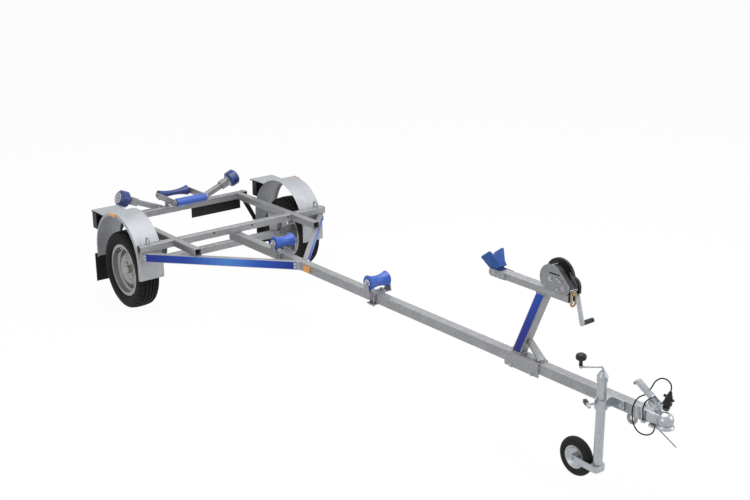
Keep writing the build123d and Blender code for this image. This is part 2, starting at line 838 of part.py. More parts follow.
# Tilted arms on the rear beam's back, each with a wobble roller at its outer end
tilt = radians(wobble_tilt)
wobble_arm_x = ahead(rear_beam_front - beam_size - wobble_arm_size / 2)
wobble_foot_z = beam_mid_z + wobble_foot_rise
wobble_z = wobble_foot_z + (wobble_y - wobble_foot_y) * tan(tilt)
wobble_axis = Vector(0, -cos(tilt), sin(tilt))
wobble_centre = Vector(wobble_arm_x, -wobble_y, wobble_z)
wobble_foot = Vector(wobble_arm_x, -wobble_foot_y, wobble_foot_z)
wobble_half = wobble_width / 2
wobble_reach = (wobble_centre - wobble_foot).length
clamp_end = wobble_reach - wobble_half - wobble_gap
wobble_arm_length = clamp_end - wobble_clamp_sheet
clamp_size = wobble_arm_size + 2 * wobble_clamp_sheet
with BuildPart() as wobble_arm:
    add(box_tube(along(tuple(wobble_foot), tuple(wobble_centre)),
                 wobble_arm_size, wobble_arm_size, wobble_arm_length))
    clamp_start = wobble_foot + wobble_axis * (clamp_end - wobble_clamp)
    with BuildSketch(along(tuple(clamp_start), tuple(wobble_centre))):
        RectangleRounded(clamp_size, clamp_size, tube_corner)
    extrude(amount=wobble_clamp)
    with BuildSketch(along(tuple(clamp_start), tuple(wobble_centre))):
        Circle(pin_r)
    extrude(amount=wobble_clamp + wobble_gap + wobble_width + pin_end)
write_pair(wobble_arm.part, "wobble_arm")

for side_name, side in (("right", -1), ("left", 1)):
    wobble_plane = spin_plane(wobble_arm_x, side * wobble_y, wobble_z, side, wobble_tilt)
    seat_r = wobble_hub_r + run_gap
    wobble_tyre = turned(wobble_plane, (
        (-wobble_half, seat_r), (-wobble_half, wobble_r - wobble_edge), (-wobble_half + wobble_edge, wobble_r),
        (wobble_half - wobble_edge, wobble_r), (wobble_half, wobble_r - wobble_edge), (wobble_half, seat_r)))
    write(wobble_tyre, f"wobble_roller_{side_name}")
    wobble_hub = turned(wobble_plane, (
        (-wobble_half, pin_r + run_gap), (-wobble_half, wobble_hub_r), (wobble_half, wobble_hub_r),
        (wobble_half, wobble_hub_r - pin_r), (wobble_half - wobble_dish, wobble_hub_r - pin_r),
        (wobble_half - wobble_dish, 2 * pin_r), (wobble_half, 2 * pin_r), (wobble_half, pin_r + run_gap)))
    write(wobble_hub, f"wobble_hub_{side_name}")

# Winch stand: a saddle over the drawbar, a leaning hollow post with a gusset and a level head tube
head_top = drawbar_top + head_rise
head_mid_z = head_top - head_height / 2
saddle_top = drawbar_top + saddle_sheet
saddle_half = drawbar_half + saddle_sheet
saddle_depth = drawbar_size + saddle_drop
with BuildPart() as saddle:
    with BuildSketch(Plane.YZ.offset(ahead(saddle_back))):
        with Locations((0, saddle_top)):
            Rectangle(2 * saddle_half, saddle_depth + saddle_sheet, align=(Align.CENTER, Align.MAX))
        with Locations((0, drawbar_top)):
            Rectangle(drawbar_size, 2 * saddle_depth, align=(Align.CENTER, Align.MAX), mode=Mode.SUBTRACT)
    extrude(amount=saddle_front - saddle_back)
    with BuildSketch(Plane.XZ.offset(-saddle_half - saddle_bolt_end)):
        for bolt_ahead in (saddle_back + saddle_bolt_inset, saddle_front - saddle_bolt_inset):
            with Locations((ahead(bolt_ahead), drawbar_bottom - saddle_drop / 2)):
                Circle(saddle_drop / 3)
    extrude(amount=2 * (saddle_half + saddle_bolt_end))
write(saddle.part, "winch_saddle")

post_start = Vector(ahead(post_base_ahead), 0, saddle_top)
post_end = Vector(ahead(post_top_ahead), 0, head_top - head_height)
post_run = (post_end - post_start).normalized()
post_face = Vector(post_depth / 2 - tube_wall, 0, 0)
gusset_top = post_start + post_run * gusset_rise + post_face
gusset_low = gusset_top - post_run * gusset_width
gusset_foot = ahead(saddle_front) - gusset_sheet
post_tube = box_tube(
    Plane(tuple(post_start - post_run * post_depth), x_dir=(0, 1, 0), z_dir=post_run),
    post_width, post_depth * post_run.Z, (post_end - post_start).length + 2 * post_depth)
with BuildPart() as post:
    add(post_tube)
    split(bisect_by=Plane.XY.offset(saddle_top), keep=Keep.TOP)
    split(bisect_by=Plane.XY.offset(head_top - head_height), keep=Keep.BOTTOM)
    with BuildSketch(Plane.XZ.offset(-gusset_sheet / 2)):
        with BuildLine():
            Polyline(
                (gusset_top.X, gusset_top.Z), (gusset_foot, saddle_top),
                (gusset_foot - gusset_width, saddle_top), (gusset_low.X, gusset_low.Z), close=True)
        make_face()
    extrude(amount=gusset_sheet)
write(post.part, "winch_post")

# Two rounded cheeks on the head tube's rear end hold the bow stop on a pin
lean = radians(stop_lean)
stop_plane = Plane(
    (ahead(stop_back), 0, head_top - stop_sink), x_dir=(0, 1, 0), z_dir=(cos(lean), 0, sin(lean)))
stop_pin = stop_plane.origin + stop_plane.z_dir * stop_depth / 2
cheek_y = head_width / 2 + stop_cheek
with BuildPart() as head:
    add(box_tube(along((ahead(head_back), 0, head_mid_z), (ahead(head_front), 0, head_mid_z)),
                 head_width, head_height, head_front - head_back))
    for plate_y in (head_width / 2, -cheek_y):
        with BuildSketch(Plane.XZ.offset(-plate_y)):
            with Locations((ahead(cheek_back), head_mid_z)):
                Circle(head_height / 2)
                Rectangle(cheek_front - cheek_back, head_height, align=(Align.MIN, Align.CENTER))
        extrude(amount=-stop_cheek)
    with BuildSketch(Plane.XZ.offset(-cheek_y)):
        with Locations((stop_pin.X, stop_pin.Z)):
            Circle(stop_pin_r)
    extrude(amount=2 * cheek_y)
write(head.part, "winch_head")

# Blue bow stop: a block that opens into two wings
stop_foot_half = head_width / 2 - seat_gap
with BuildPart() as bow_stop:
    with BuildSketch(stop_plane):
        with BuildLine():
            Polyline(
                (-stop_foot_half, -stop_foot), (-stop_foot_half, stop_waist), (-stop_half, stop_wing_rise),
                (-stop_half + stop_wing, stop_rise), (0, stop_notch), (stop_half - stop_wing, stop_rise),
                (stop_half, stop_wing_rise), (stop_foot_half, stop_waist), (stop_foot_half, -stop_foot),
                close=True)
        make_face()
    extrude(amount=stop_depth)
    with BuildSketch(Plane.XZ.offset(-cheek_y)):
        with Locations((stop_pin.X, stop_pin.Z)):
            Circle(stop_pin_r + run_gap)
    extrude(amount=2 * cheek_y, mode=Mode.SUBTRACT)
write(bow_stop.part, "bow_stop")

# Hand winch: slotted side plates on a base, a drum wound with strap, a gear cover, a crank and a hook
winch_at = (ahead(winch_ahead), head_top + winch_rise)
shaft_at = (winch_at[0] + shaft_reach, head_top + shaft_rise)
plate_half = winch_gap / 2
cover_in = plate_half + winch_plate_sheet
below_head = 2 * (cover_r + shaft_reach + cover_shaft_r)
tie_ring = (strap_r + winch_plate_r) / 2
slot_at = (winch_at[0] + winch_slot_ahead, winch_at[1] + winch_slot_rise)
with BuildPart() as winch_frame:
    for plate_y in (plate_half, -cover_in):
        with BuildSketch(Plane.XZ.offset(-plate_y)):
            with Locations(winch_at):
                Circle(winch_plate_r)
            with Locations(shaft_at):
                Circle(shaft_plate_r)
            make_hull()
            with Locations((winch_at[0], head_top)):
                Rectangle(below_head, below_head, align=(Align.CENTER, Align.MAX), mode=Mode.SUBTRACT)
            with Locations(slot_at):
                SlotOverall(*winch_slot, mode=Mode.SUBTRACT)
            with Locations(shaft_at):
                Circle(shaft_r + run_gap, mode=Mode.SUBTRACT)
        extrude(amount=-winch_plate_sheet)
    with Locations((winch_at[0] - winch_base[0], 0, head_top)):
        Box(sum(winch_base), winch_gap, winch_plate_sheet, align=(Align.MIN, Align.CENTER, Align.MIN))
    with BuildSketch(Plane.XZ.offset(-plate_half)):
        for turn in tie_turn:
            tie = (tie_ring * cos(radians(turn)), tie_ring * sin(radians(turn)))
            with Locations((winch_at[0] + tie[0], winch_at[1] + tie[1])):
                Circle(tie_r)
    extrude(amount=winch_gap)
write(winch_frame.part, "winch_frame")

strap_lift = strap_r / sqrt(2)
strap_top = (winch_at[0] + strap_lift, winch_at[1] + strap_lift)
strap_end = (ahead(head_front + strap_hang), head_top + strap_end_rise)
with BuildPart() as drum:
    with BuildSketch(Plane.XZ.offset(-plate_half)):
        with Locations(winch_at):
            Circle(core_r)
    extrude(amount=winch_gap)
    with BuildSketch(Plane.XZ.offset(-strap_width / 2)):
        with Locations(winch_at):
            Circle(strap_r)
        with BuildLine():
            Polyline(
                strap_top, strap_end, (strap_end[0] - strap_sheet, strap_end[1]),
                (strap_top[0] - strap_sheet, strap_top[1] - strap_sheet), close=True)
        make_face()
    extrude(amount=strap_width)
write(drum.part, "winch_drum")

with BuildPart() as cover:
    with BuildSketch(Plane.XZ.offset(-cover_in)):
        with Locations(winch_at):
            Circle(cover_r)
        with Locations(shaft_at):
            Circle(cover_shaft_r)
            Rectangle(2 * cover_shaft_r, shaft_rise, align=(Align.CENTER, Align.MAX))
        with Locations((winch_at[0], head_top)):
            Rectangle(below_head, below_head, align=(Align.CENTER, Align.MAX), mode=Mode.SUBTRACT)
    extrude(amount=-cover_depth)
    fillet(cover.faces().sort_by(Axis.Y)[-1].edges(), radius=cover_edge)
    with BuildSketch(Plane.XZ.offset(-cover_in)):
        with Locations(shaft_at):
            Circle(shaft_r + run_gap)
    extrude(amount=-cover_depth, mode=Mode.SUBTRACT)
write(cover.part, "winch_cover")

crank_in = cover_in + cover_depth + crank_stand
lean = radians(crank_lean)
crank_end = (shaft_at[0] + crank_length * sin(lean), shaft_at[1] - crank_length * cos(lean))
with BuildPart() as crank:
    with BuildSketch(Plane.XZ.offset(-crank_in)):
        with Locations(shaft_at, crank_end):
            Circle(crank_width / 2)
        make_hull()
    extrude(amount=-crank_sheet)
    with BuildSketch(Plane.XZ.offset(-crank_in)):
        with Locations(shaft_at):
            Circle(shaft_r)
    extrude(amount=crank_in + cover_in + shaft_end)
write(crank.part, "winch_crank")

grip_in = crank_in + crank_sheet
with BuildPart() as grip:
    with BuildSketch(Plane.XZ.offset(-grip_in)):
        with Locations(crank_end):
            Circle(grip_r)
    extrude(amount=-grip_length)
    fillet(grip.faces().sort_by(Axis.Y)[-1].edges(), radius=grip_r / 3)
write(grip.part, "winch_grip")

# Snap hook below the strap's end
hook_mid_z = strap_end[1] - seat_gap - hook_height / 2
with BuildPart() as hook:
    with BuildSketch(Plane.YZ.offset(ahead(head_front + hook_stand))):
        with Locations((0, hook_mid_z)):
            SlotOverall(hook_height, hook_width, rotation=90)
            SlotOverall(hook_height - 2 * hook_rod, hook_width - 2 * hook_rod, rotation=90, mode=Mode.SUBTRACT)
    extrude(amount=hook_rod)
write(hook.part, "winch_hook")

# Jockey wheel: a clamp on the drawbar's right side holds the tube, which is raised and lowered in it
jockey_x = ahead(jockey_ahead)
clamp_r = jockey_tube_r + clamp_ring
clamp_mid_z = drawbar_top - clamp_height / 2
with BuildPart() as clamp:
    with BuildSketch(Plane.XY.offset(drawbar_top - clamp_height)):
        with Locations((jockey_x, jockey_y)):
            Circle(clamp_r)
        with Locations((jockey_x, -drawbar_half)):
            Rectangle(clamp_neck, -jockey_y - drawbar_half, align=(Align.CENTER, Align.MAX))
        with Locations((jockey_x + clamp_foot[1], -drawbar_half)):
            Rectangle(clamp_foot[0], clamp_ring, align=(Align.CENTER, Align.MAX))
        with Locations((jockey_x, jockey_y)):
            Circle(jockey_tube_r + run_gap, mode=Mode.SUBTRACT)
    extrude(amount=clamp_height)
    stem_r, stem_length = clamp_stem
    bar_length, bar_width, bar_depth = clamp_bar
    stem_plane = Plane((jockey_x, jockey_y, clamp_mid_z), x_dir=(0, 0, 1), z_dir=clamp_stem_run)
    with BuildSketch(stem_plane.offset(clamp_r - clamp_ring / 2)):
        Circle(stem_r)
    extrude(amount=stem_length)
    with BuildSketch(stem_plane.offset(clamp_r - clamp_ring / 2 + stem_length)):
        SlotOverall(bar_length, bar_width, rotation=90)
    extrude(amount=bar_depth)
write(clamp.part, "jockey_clamp")

jockey_tube_bottom = jockey_wheel_r + jockey_tube_foot
jockey_tube_top = drawbar_top + jockey_tube_rise
collar_r = jockey_tube_r + collar_rise
arm_z = jockey_tube_top + crank_rise
arm_end = (jockey_x + crank_arm[0], jockey_y + crank_arm[1])
rod_start = (jockey_x, jockey_y, jockey_tube_top + cone_height / 2)
with BuildPart() as jockey_tube:
    with BuildSketch(Plane.XY.offset(jockey_tube_bottom)):
        with Locations((jockey_x, jockey_y)):
            Circle(jockey_tube_r)
            Circle(jockey_tube_r - jockey_tube_wall, mode=Mode.SUBTRACT)
    extrude(amount=jockey_tube_top - jockey_tube_bottom)
    with BuildSketch(Plane.XY.offset(jockey_tube_top)):
        with Locations((jockey_x, jockey_y)):
            Circle(collar_r)
    extrude(amount=-collar_height)
    with BuildSketch(Plane.XY.offset(jockey_tube_top)):
        with Locations((jockey_x, jockey_y)):
            Circle(collar_r)
    extrude(amount=cone_height, taper=cone_taper)
    with BuildLine() as rod_path:
        FilletPolyline(
            rod_start, (jockey_x, jockey_y, arm_z), (arm_end[0], arm_end[1], arm_z), radius=2 * crank_rod_r)
    with BuildSketch(Plane(rod_start)):
        Circle(crank_rod_r)
    sweep(path=rod_path.line)
    with BuildSketch(Plane.XY.offset(arm_z - crank_rod_r)):
        with Locations(arm_end):
            Circle(crank_rod_r + crank_eye)
    extrude(amount=2 * crank_rod_r)
write(jockey_tube.part, "jockey_tube")

knob_plane = Plane((arm_end[0], arm_end[1], arm_z + crank_rod_r), x_dir=(0, 0, 1), z_dir=(0, -1, 0))
with BuildPart() as knob:
    with BuildSketch(knob_plane):
        with BuildLine():
            foot = Line((0, 0), (0, knob_stem_r))
            stem = Line(foot @ 1, (knob_height - 2 * knob_r + knob_stem_r / 2, knob_stem_r))
            ball = ThreePointArc(
                stem @ 1, (knob_height - knob_r, knob_r), (knob_height, knob_stem_r / 2))
            crown = Line(ball @ 1, (knob_height, 0))
            Line(crown @ 1, foot @ 0)
        make_face()
    revolve(axis=Axis(knob_plane.origin, knob_plane.x_dir))
write(knob.part, "jockey_knob")

# Swivelling fork: a rounded block on a spindle, with two level arms to the wheel's pin
fork_in = jockey_wheel_width / 2 + fork_play
fork_out = fork_in + fork_sheet
yoke_top = jockey_tube_bottom - side_play
wheel_x = jockey_x - jockey_trail
with BuildPart() as fork:
    with BuildSketch(Plane.XY.offset(yoke_top - fork_block)):
        with Locations((jockey_x, jockey_y)):
            RectangleRounded(2 * jockey_tube_r, 2 * fork_out, fork_corner)
    extrude(amount=fork_block)
    with BuildSketch(Plane.XY.offset(yoke_top)):
        with Locations((jockey_x, jockey_y)):
            Circle(jockey_tube_r - jockey_tube_wall - run_gap)
    extrude(amount=spindle_length)
    for arm_y in (jockey_y + fork_in, jockey_y - fork_out):
        with BuildSketch(Plane.XZ.offset(-arm_y)):
            with Locations((jockey_x, yoke_top - fork_block / 2), (wheel_x, jockey_wheel_r)):
                Circle(fork_block / 2)
            make_hull()
        extrude(amount=-fork_sheet)
    with BuildSketch(Plane.XZ.offset(-jockey_y - fork_out)):
        with Locations((wheel_x, jockey_wheel_r)):
            Circle(jockey_pin_r)
    extrude(amount=2 * fork_out)
write(fork.part, "jockey_fork")

jockey_plane = spin_plane(wheel_x, jockey_y, jockey_wheel_r)
jockey_half = jockey_wheel_width / 2
seat_half = jockey_half - jockey_rim_edge
wall_r = jockey_rim_r + jockey_wall_rise
with BuildPart() as jockey_tyre:
    with BuildSketch(jockey_plane):
        with BuildLine():
            seat = Line((-seat_half, jockey_rim_r), (seat_half, jockey_rim_r))
            wall = Line(seat @ 1, (jockey_half, wall_r))
            crown = ThreePointArc(wall @ 1, (0, jockey_wheel_r), (-jockey_half, wall_r))
            Line(crown @ 1, seat @ 0)
        make_face()
    revolve(axis=Axis(jockey_plane.origin, jockey_plane.x_dir))
write(jockey_tyre.part, "jockey_tyre")

rim_seat_r = jockey_rim_r - run_gap
rim_edge_r = jockey_rim_r - jockey_rim_edge
jockey_rim = turned(jockey_plane, (
    (-jockey_half, jockey_pin_r + run_gap), (-jockey_half, jockey_boss_r), (-jockey_disc / 2, jockey_boss_r),
    (-jockey_disc / 2, jockey_dish_r), (-seat_half, rim_edge_r), (-seat_half, rim_seat_r),
    (seat_half, rim_seat_r), (seat_half, rim_edge_r), (jockey_disc / 2, jockey_dish_r),
    (jockey_disc / 2, jockey_boss_r), (jockey_half, jockey_boss_r), (jockey_half, jockey_pin_r + run_gap)))
write(jockey_rim, "jockey_rim")

# Routes of the cable, its short lead and the safety wire: ahead of the ball, across, above the drawbar's bottom
clip_front = -ball_r - clip_gap
cable_points = (
    (-50, -10, -clip_size[2]), (-50, -10, -48), (-72, -42, -64), (-112, -60, -54), (-142, -62, -16),
    (-154, -60, 38), (-146, -56, 90), (-136, -32, 118), (-130, 10, 116), (-116, 30, 152), (-100, 33, 192),
    (-66, 37, 220), (-30, 41, 218), (-6, 43, 194), (-14, 44, 161))
lead_points = (
    (-98, -43, 10), (-98, -43, 34), (-98, -48, 60), (-95, -51, 85), (-89, -46, 108), (-81, -33, 123),
    (-75, -15.5, 128))
wire_points = (
    (clip_front, -34, -7), (clip_front + wire_bushing, -34, -7), (28, -35, -24), (66, -36, -42),
    (100, -35, -60))


def places(points):
    return [Vector(ahead(ball_ahead + x), y, drawbar_bottom + z) for x, y, z in points]


def last_run(points):
    before, end = places(points)[-2:]
    return end, (end - before).normalized()


def cord(points, radius):
    route_points = places(points)
    bends = []
    for before, corner, after in zip(route_points, route_points[1:], route_points[2:]):
        turn = (corner - before).get_angle(after - corner)
        shorter = min((corner - before).length, (after - corner).length)
        bends.append(0.45 * shorter / tan(radians(turn / 2)))
    print("bend radii", [round(bend) for bend in bends])
    with BuildPart() as tube:
        with BuildLine() as route:
            FilletPolyline(*route_points, radius=bends)
        with BuildSketch(Plane(route_points[0], z_dir=route_points[1] - route_points[0])):
            Circle(radius)
        sweep(path=route.line)
    length = sum(edge.length for edge in route.line.edges())
    filled = tube.part.volume / (length * pi * radius ** 2)
    print("cord length", round(length), "volume ratio", round(filled, 3))
    return tube.part


write(cord(cable_points, cable_r), "cable")
write(cord(lead_points, cable_r), "lead")
write(cord(wire_points, wire_r), "safety_wire")

# Plug at the cable's end, with the two lugs that hold it in its socket
plug_start, plug_run = last_run(cable_points)
plug_plane = Plane(plug_start, x_dir=plug_run, z_dir=plug_run.cross(Vector(0, 0, 1)).cross(plug_run))
plug_body = turned(plug_plane, (
    (0, 0), (0, 0.4 * plug_r), (0.2 * plug_length, 0.65 * plug_r), (0.25 * plug_length, 0.85 * plug_r),
    (0.6 * plug_length, plug_r), (0.64 * plug_length, 1.2 * plug_r), (0.7 * plug_length, 1.2 * plug_r),
    (0.72 * plug_length, 0.9 * plug_r), (plug_length, 0.9 * plug_r), (plug_length, 0)))
with BuildPart() as plug:
    add(plug_body)
    with BuildSketch(Plane(plug_start + plug_run * 0.3 * plug_length, x_dir=(1, 0, 0), z_dir=plug_run)):
        Rectangle(3 * plug_r, plug_r / 2)
    extrude(amount=plug_r / 2)
write(plug.part, "plug")

# Ball coupling: a pressed sleeve over the drawbar's tip that runs into a domed socket
ball_z = drawbar_bottom + ball_rise
sleeve_half = drawbar_half + coupling_sheet
sleeve_height = drawbar_size + coupling_sheet
pivot = (ahead(ball_ahead - handle_reach), drawbar_top + handle_rise)
sections = (
    # ahead, width, height, corner
    (drawbar_tip, 2 * sleeve_half, sleeve_height, coupling_sheet),
    (ball_ahead - neck_reach, *neck_size),
    (ball_ahead, *cup_size),
)
with BuildPart() as coupling:
    with BuildSketch(Plane.YZ.offset(ahead(coupling_back))):
        with Locations((0, drawbar_top + coupling_sheet)):
            Rectangle(2 * sleeve_half, sleeve_height, align=(Align.CENTER, Align.MAX))
        with Locations((0, drawbar_top)):
            Rectangle(drawbar_size, drawbar_size, align=(Align.CENTER, Align.MAX), mode=Mode.SUBTRACT)
    extrude(amount=drawbar_tip - coupling_back)
    for place, width, height, corner in sections:
        with BuildSketch(Plane.YZ.offset(ahead(place))):
            with Locations((0, drawbar_bottom + height / 2)):
                RectangleRounded(width, height, corner)
    loft(ruled=True)
    with Locations((ahead(ball_ahead), 0, ball_z)):
        Sphere(dome_r)
    split(bisect_by=Plane.XY.offset(drawbar_bottom - skirt), keep=Keep.TOP)
    with Locations((ahead(ball_ahead), 0, ball_z - ball_seat)):
        Sphere(ball_r, mode=Mode.SUBTRACT)
    with BuildSketch(Plane.XY.offset(drawbar_bottom - skirt)):
        with Locations((ahead(ball_ahead), 0)):
            Circle(ball_r)
    extrude(amount=ball_rise + skirt - ball_seat, mode=Mode.SUBTRACT)
    with BuildSketch(Plane.XZ.offset(-lug_half)):
        with Locations(pivot):
            Circle(lug_r)
            Rectangle(2 * lug_r, handle_rise + lug_r, align=(Align.CENTER, Align.MAX))
    extrude(amount=2 * lug_half)
    with Locations((ahead(ball_ahead + clip_front), 0, drawbar_bottom)):
        Box(*clip_size, align=(Align.MAX, Align.MAX, Align.MAX))
    lead_start = places(lead_points)[0]
    with Locations((lead_start.X, -sleeve_half + coupling_sheet / 2, lead_start.Z)):
        Box(*lead_clip, align=(Align.CENTER, Align.MAX, Align.MAX))
write(coupling.part, "coupling_body")

# Coupling handle, raised, with its grip end rolled over and a ferrule for the lead
handle_tip = (pivot[0] - handle_length[0], pivot[1] + handle_length[1])
bar_start = (pivot[0] - handle_bar_start * handle_length[0], pivot[1] + handle_bar_start * handle_length[1])
curl_at = (handle_tip[0] - curl_drop[0], handle_tip[1] - curl_drop[1])
cheek = handle_width / 2 - lug_half - seat_gap
with BuildPart() as handle:
    for plate_y in (-handle_width / 2, lug_half + seat_gap):
        with BuildSketch(Plane.XZ.offset(-plate_y)):
            with Locations(pivot, handle_tip):
                Circle(handle_height / 2)
            make_hull()
        extrude(amount=-cheek)
    with BuildSketch(Plane.XZ.offset(-handle_width / 2)):
        with Locations(bar_start, handle_tip):
            Circle(handle_height / 2)
        make_hull()
        with Locations(curl_at):
            Circle(curl_r)
            Circle(curl_bore_r, mode=Mode.SUBTRACT)
    extrude(amount=handle_width)
    lead_end, lead_run = last_run(lead_points)
    with BuildSketch(Plane(lead_end, z_dir=lead_run)):
        Circle(ferrule_r)
    extrude(amount=(-handle_width / 2 + cheek / 2 - lead_end.Y) / lead_run.Y)
write(handle.part, "coupling_handle")
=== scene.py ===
import json
import math

import bpy
from mathutils import Matrix, Quaternion, Vector


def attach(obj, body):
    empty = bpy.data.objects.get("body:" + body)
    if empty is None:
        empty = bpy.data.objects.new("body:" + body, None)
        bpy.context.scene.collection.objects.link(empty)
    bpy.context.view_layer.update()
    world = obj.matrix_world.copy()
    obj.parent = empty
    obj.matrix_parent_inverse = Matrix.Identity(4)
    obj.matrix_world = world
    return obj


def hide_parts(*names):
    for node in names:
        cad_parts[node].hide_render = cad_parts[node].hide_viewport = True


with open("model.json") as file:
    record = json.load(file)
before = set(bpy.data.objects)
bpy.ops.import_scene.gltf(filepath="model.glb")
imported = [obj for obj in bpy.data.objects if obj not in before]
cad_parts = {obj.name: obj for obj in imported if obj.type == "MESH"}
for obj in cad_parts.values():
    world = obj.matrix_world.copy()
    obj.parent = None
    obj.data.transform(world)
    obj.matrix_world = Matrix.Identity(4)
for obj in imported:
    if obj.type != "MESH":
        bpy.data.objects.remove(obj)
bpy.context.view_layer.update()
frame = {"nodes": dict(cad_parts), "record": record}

nodes = frame["nodes"]
mm = 0.001
wheelAxisX = -1748  # the road wheels' axis in the part's frame
sides = (("right", -1), ("left", 1))


def linear(hexColour):
    channels = [int(hexColour[k:k + 2], 16) / 255 for k in (1, 3, 5)]
    return tuple(c / 12.92 if c <= 0.04045 else ((c + 0.055) / 1.055) ** 2.4 for c in channels) + (1.0,)


# A point of the part's frame from mm ahead of the wheels' axis, across and up
def at(ahead, across, up):
    return Vector(((ahead + wheelAxisX) * mm, across * mm, up * mm))


# A place or direction, turned over to the other side where side is -1
def flipped(place, side):
    return (place[0], side * place[1], place[2])


def addNode(tree, kind, settings=(), links=()):
    made = tree.nodes.new(kind)
    for name, value in dict(settings).items():
        if name in made.inputs:
            made.inputs[name].default_value = value
        else:
            setattr(made, name, value)
    for name, source in dict(links).items():
        tree.links.new(source, made.inputs[name])
    return made


def newMaterial(name, **shaderValues):
    made = bpy.data.materials.new(name)
    made.use_nodes = True
    tree = made.node_tree
    shader = tree.nodes["Principled BSDF"]
    for socket, value in shaderValues.items():
        shader.inputs[socket.replace("_", " ")].default_value = value
    return made, tree, shader


def connect(tree, shader, **sources):
    for socket, source in sources.items():
        tree.links.new(source, shader.inputs[socket.replace("_", " ")])


print("materials")
waveFactor = 20  # a wave texture multiplies its coordinate by this


# The steps that the materials share, with sizes in mm; each gives the socket to go on from
def objectPlace(tree):
    return addNode(tree, "ShaderNodeTexCoord").outputs["Object"]


def noise(tree, place, size, detail):
    settings = {"Scale": 1 / (size * mm), "Detail": detail}
    return addNode(tree, "ShaderNodeTexNoise", settings, {"Vector": place}).outputs["Fac"]


def wave(tree, place, pitch, direction):
    settings = {"Scale": 2 * math.pi / (waveFactor * pitch * mm), "bands_direction": direction}
    return addNode(tree, "ShaderNodeTexWave", settings, {"Vector": place}).outputs["Fac"]


def mixed(tree, first, second, share):
    settings = {"data_type": "FLOAT", "Factor": share}
    return addNode(tree, "ShaderNodeMix", settings, {"A": first, "B": second}).outputs["Result"]


def spread(tree, source, **limits):
    settings = {name.replace("_", " "): value for name, value in limits.items()}
    return addNode(tree, "ShaderNodeMapRange", settings, {"Value": source}).outputs["Result"]


def toned(tree, source, stops, interpolation="LINEAR"):
    ramp = addNode(tree, "ShaderNodeValToRGB", links={"Fac": source})
    ramp.color_ramp.interpolation = interpolation
    elements = ramp.color_ramp.elements
    while len(elements) < len(stops):
        elements.new(0.5)
    for element, (position, colour) in zip(elements, stops):
        element.position = position
        element.color = colour
    return ramp.outputs["Color"]


def bumped(tree, height, strength, depth):
    settings = {"Strength": strength, "Distance": depth * mm}
    return addNode(tree, "ShaderNodeBump", settings, {"Height": height}).outputs["Normal"]


zincCoat = {"crystal": 9, "cloud": 90, "detail": 5.0, "cloudShare": 0.6, "darkAt": 0.25, "paleAt": 0.75,
            "bump": 0.08, "depth": 0.4}


# Hot-dip galvanised steel: dull grey zinc whose crystals, some 9 mm across, differ a little in tone and gloss
def galvanisedSteel(name, dark, pale, metallic, smooth, rough):
    made, tree, shader = newMaterial(name, Metallic=metallic)
    place = objectPlace(tree)
    crystal = addNode(tree, "ShaderNodeTexVoronoi", {"Scale": 1 / (zincCoat["crystal"] * mm)}, {"Vector": place})
    cloud = noise(tree, place, zincCoat["cloud"], zincCoat["detail"])
    tone = mixed(tree, crystal.outputs["Color"], cloud, zincCoat["cloudShare"])
    stops = ((zincCoat["darkAt"], linear(dark)), (zincCoat["paleAt"], linear(pale)))
    gloss = spread(tree, tone, To_Min=smooth, To_Max=rough)
    connect(tree, shader, Base_Color=toned(tree, tone, stops), Roughness=gloss,
            Normal=bumped(tree, cloud, zincCoat["bump"], zincCoat["depth"]))
    return made


grained = {"grainDetail": 3.0, "wear": 60, "wearDetail": 4.0, "wearShare": 0.5, "darkAt": 0.3, "fullAt": 0.7,
           "smoother": 0.06, "rougher": 0.08, "bump": 0.3}


# A finish with a fine grain and a broad cloud of wear that change its tone and gloss a little
def grainedFinish(name, colour, grainSize, grainDepth, contrast, roughness, **shaderValues):
    made, tree, shader = newMaterial(name, **shaderValues)
    place = objectPlace(tree)
    grain = noise(tree, place, grainSize, grained["grainDetail"])
    wear = noise(tree, place, grained["wear"], grained["wearDetail"])
    tone = mixed(tree, grain, wear, grained["wearShare"])
    full = linear(colour)
    dark = tuple(c * (1 - contrast) for c in full[:3]) + (1.0,)
    gloss = spread(tree, wear, To_Min=roughness - grained["smoother"], To_Max=roughness + grained["rougher"])
    connect(tree, shader, Base_Color=toned(tree, tone, ((grained["darkAt"], dark), (grained["fullAt"], full))),
            Roughness=gloss, Normal=bumped(tree, grain, grained["bump"], grainDepth))
    return made


lens = {"ribPitch": 6, "bump": 0.5, "depth": 0.8, "roughness": 0.12, "coat": 0.6, "coatRoughness": 0.05}


# Acrylic lens: clear colour over moulded ribs 6 mm apart, with the rows of a lamp told apart by height
def ribbedLens(name, stops, low, high):
    made, tree, shader = newMaterial(name, Roughness=lens["roughness"], Coat_Weight=lens["coat"],
                                     Coat_Roughness=lens["coatRoughness"])
    place = objectPlace(tree)
    parts = addNode(tree, "ShaderNodeSeparateXYZ", links={"Vector": place})
    rise = spread(tree, parts.outputs["Z"], From_Min=low * mm, From_Max=high * mm)
    colours = [(position, linear(colour)) for position, colour in stops]
    ribs = wave(tree, place, lens["ribPitch"], "Y")
    connect(tree, shader, Base_Color=toned(tree, rise, colours, "CONSTANT"),
            Normal=bumped(tree, ribs, lens["bump"], lens["depth"]))
    return made


strap = {"pitch": 3, "alongShare": 0.5, "dark": "#141416", "pale": "#2a2a2e", "darkAt": 0.2, "paleAt": 0.8,
         "bump": 0.6, "depth": 0.5}


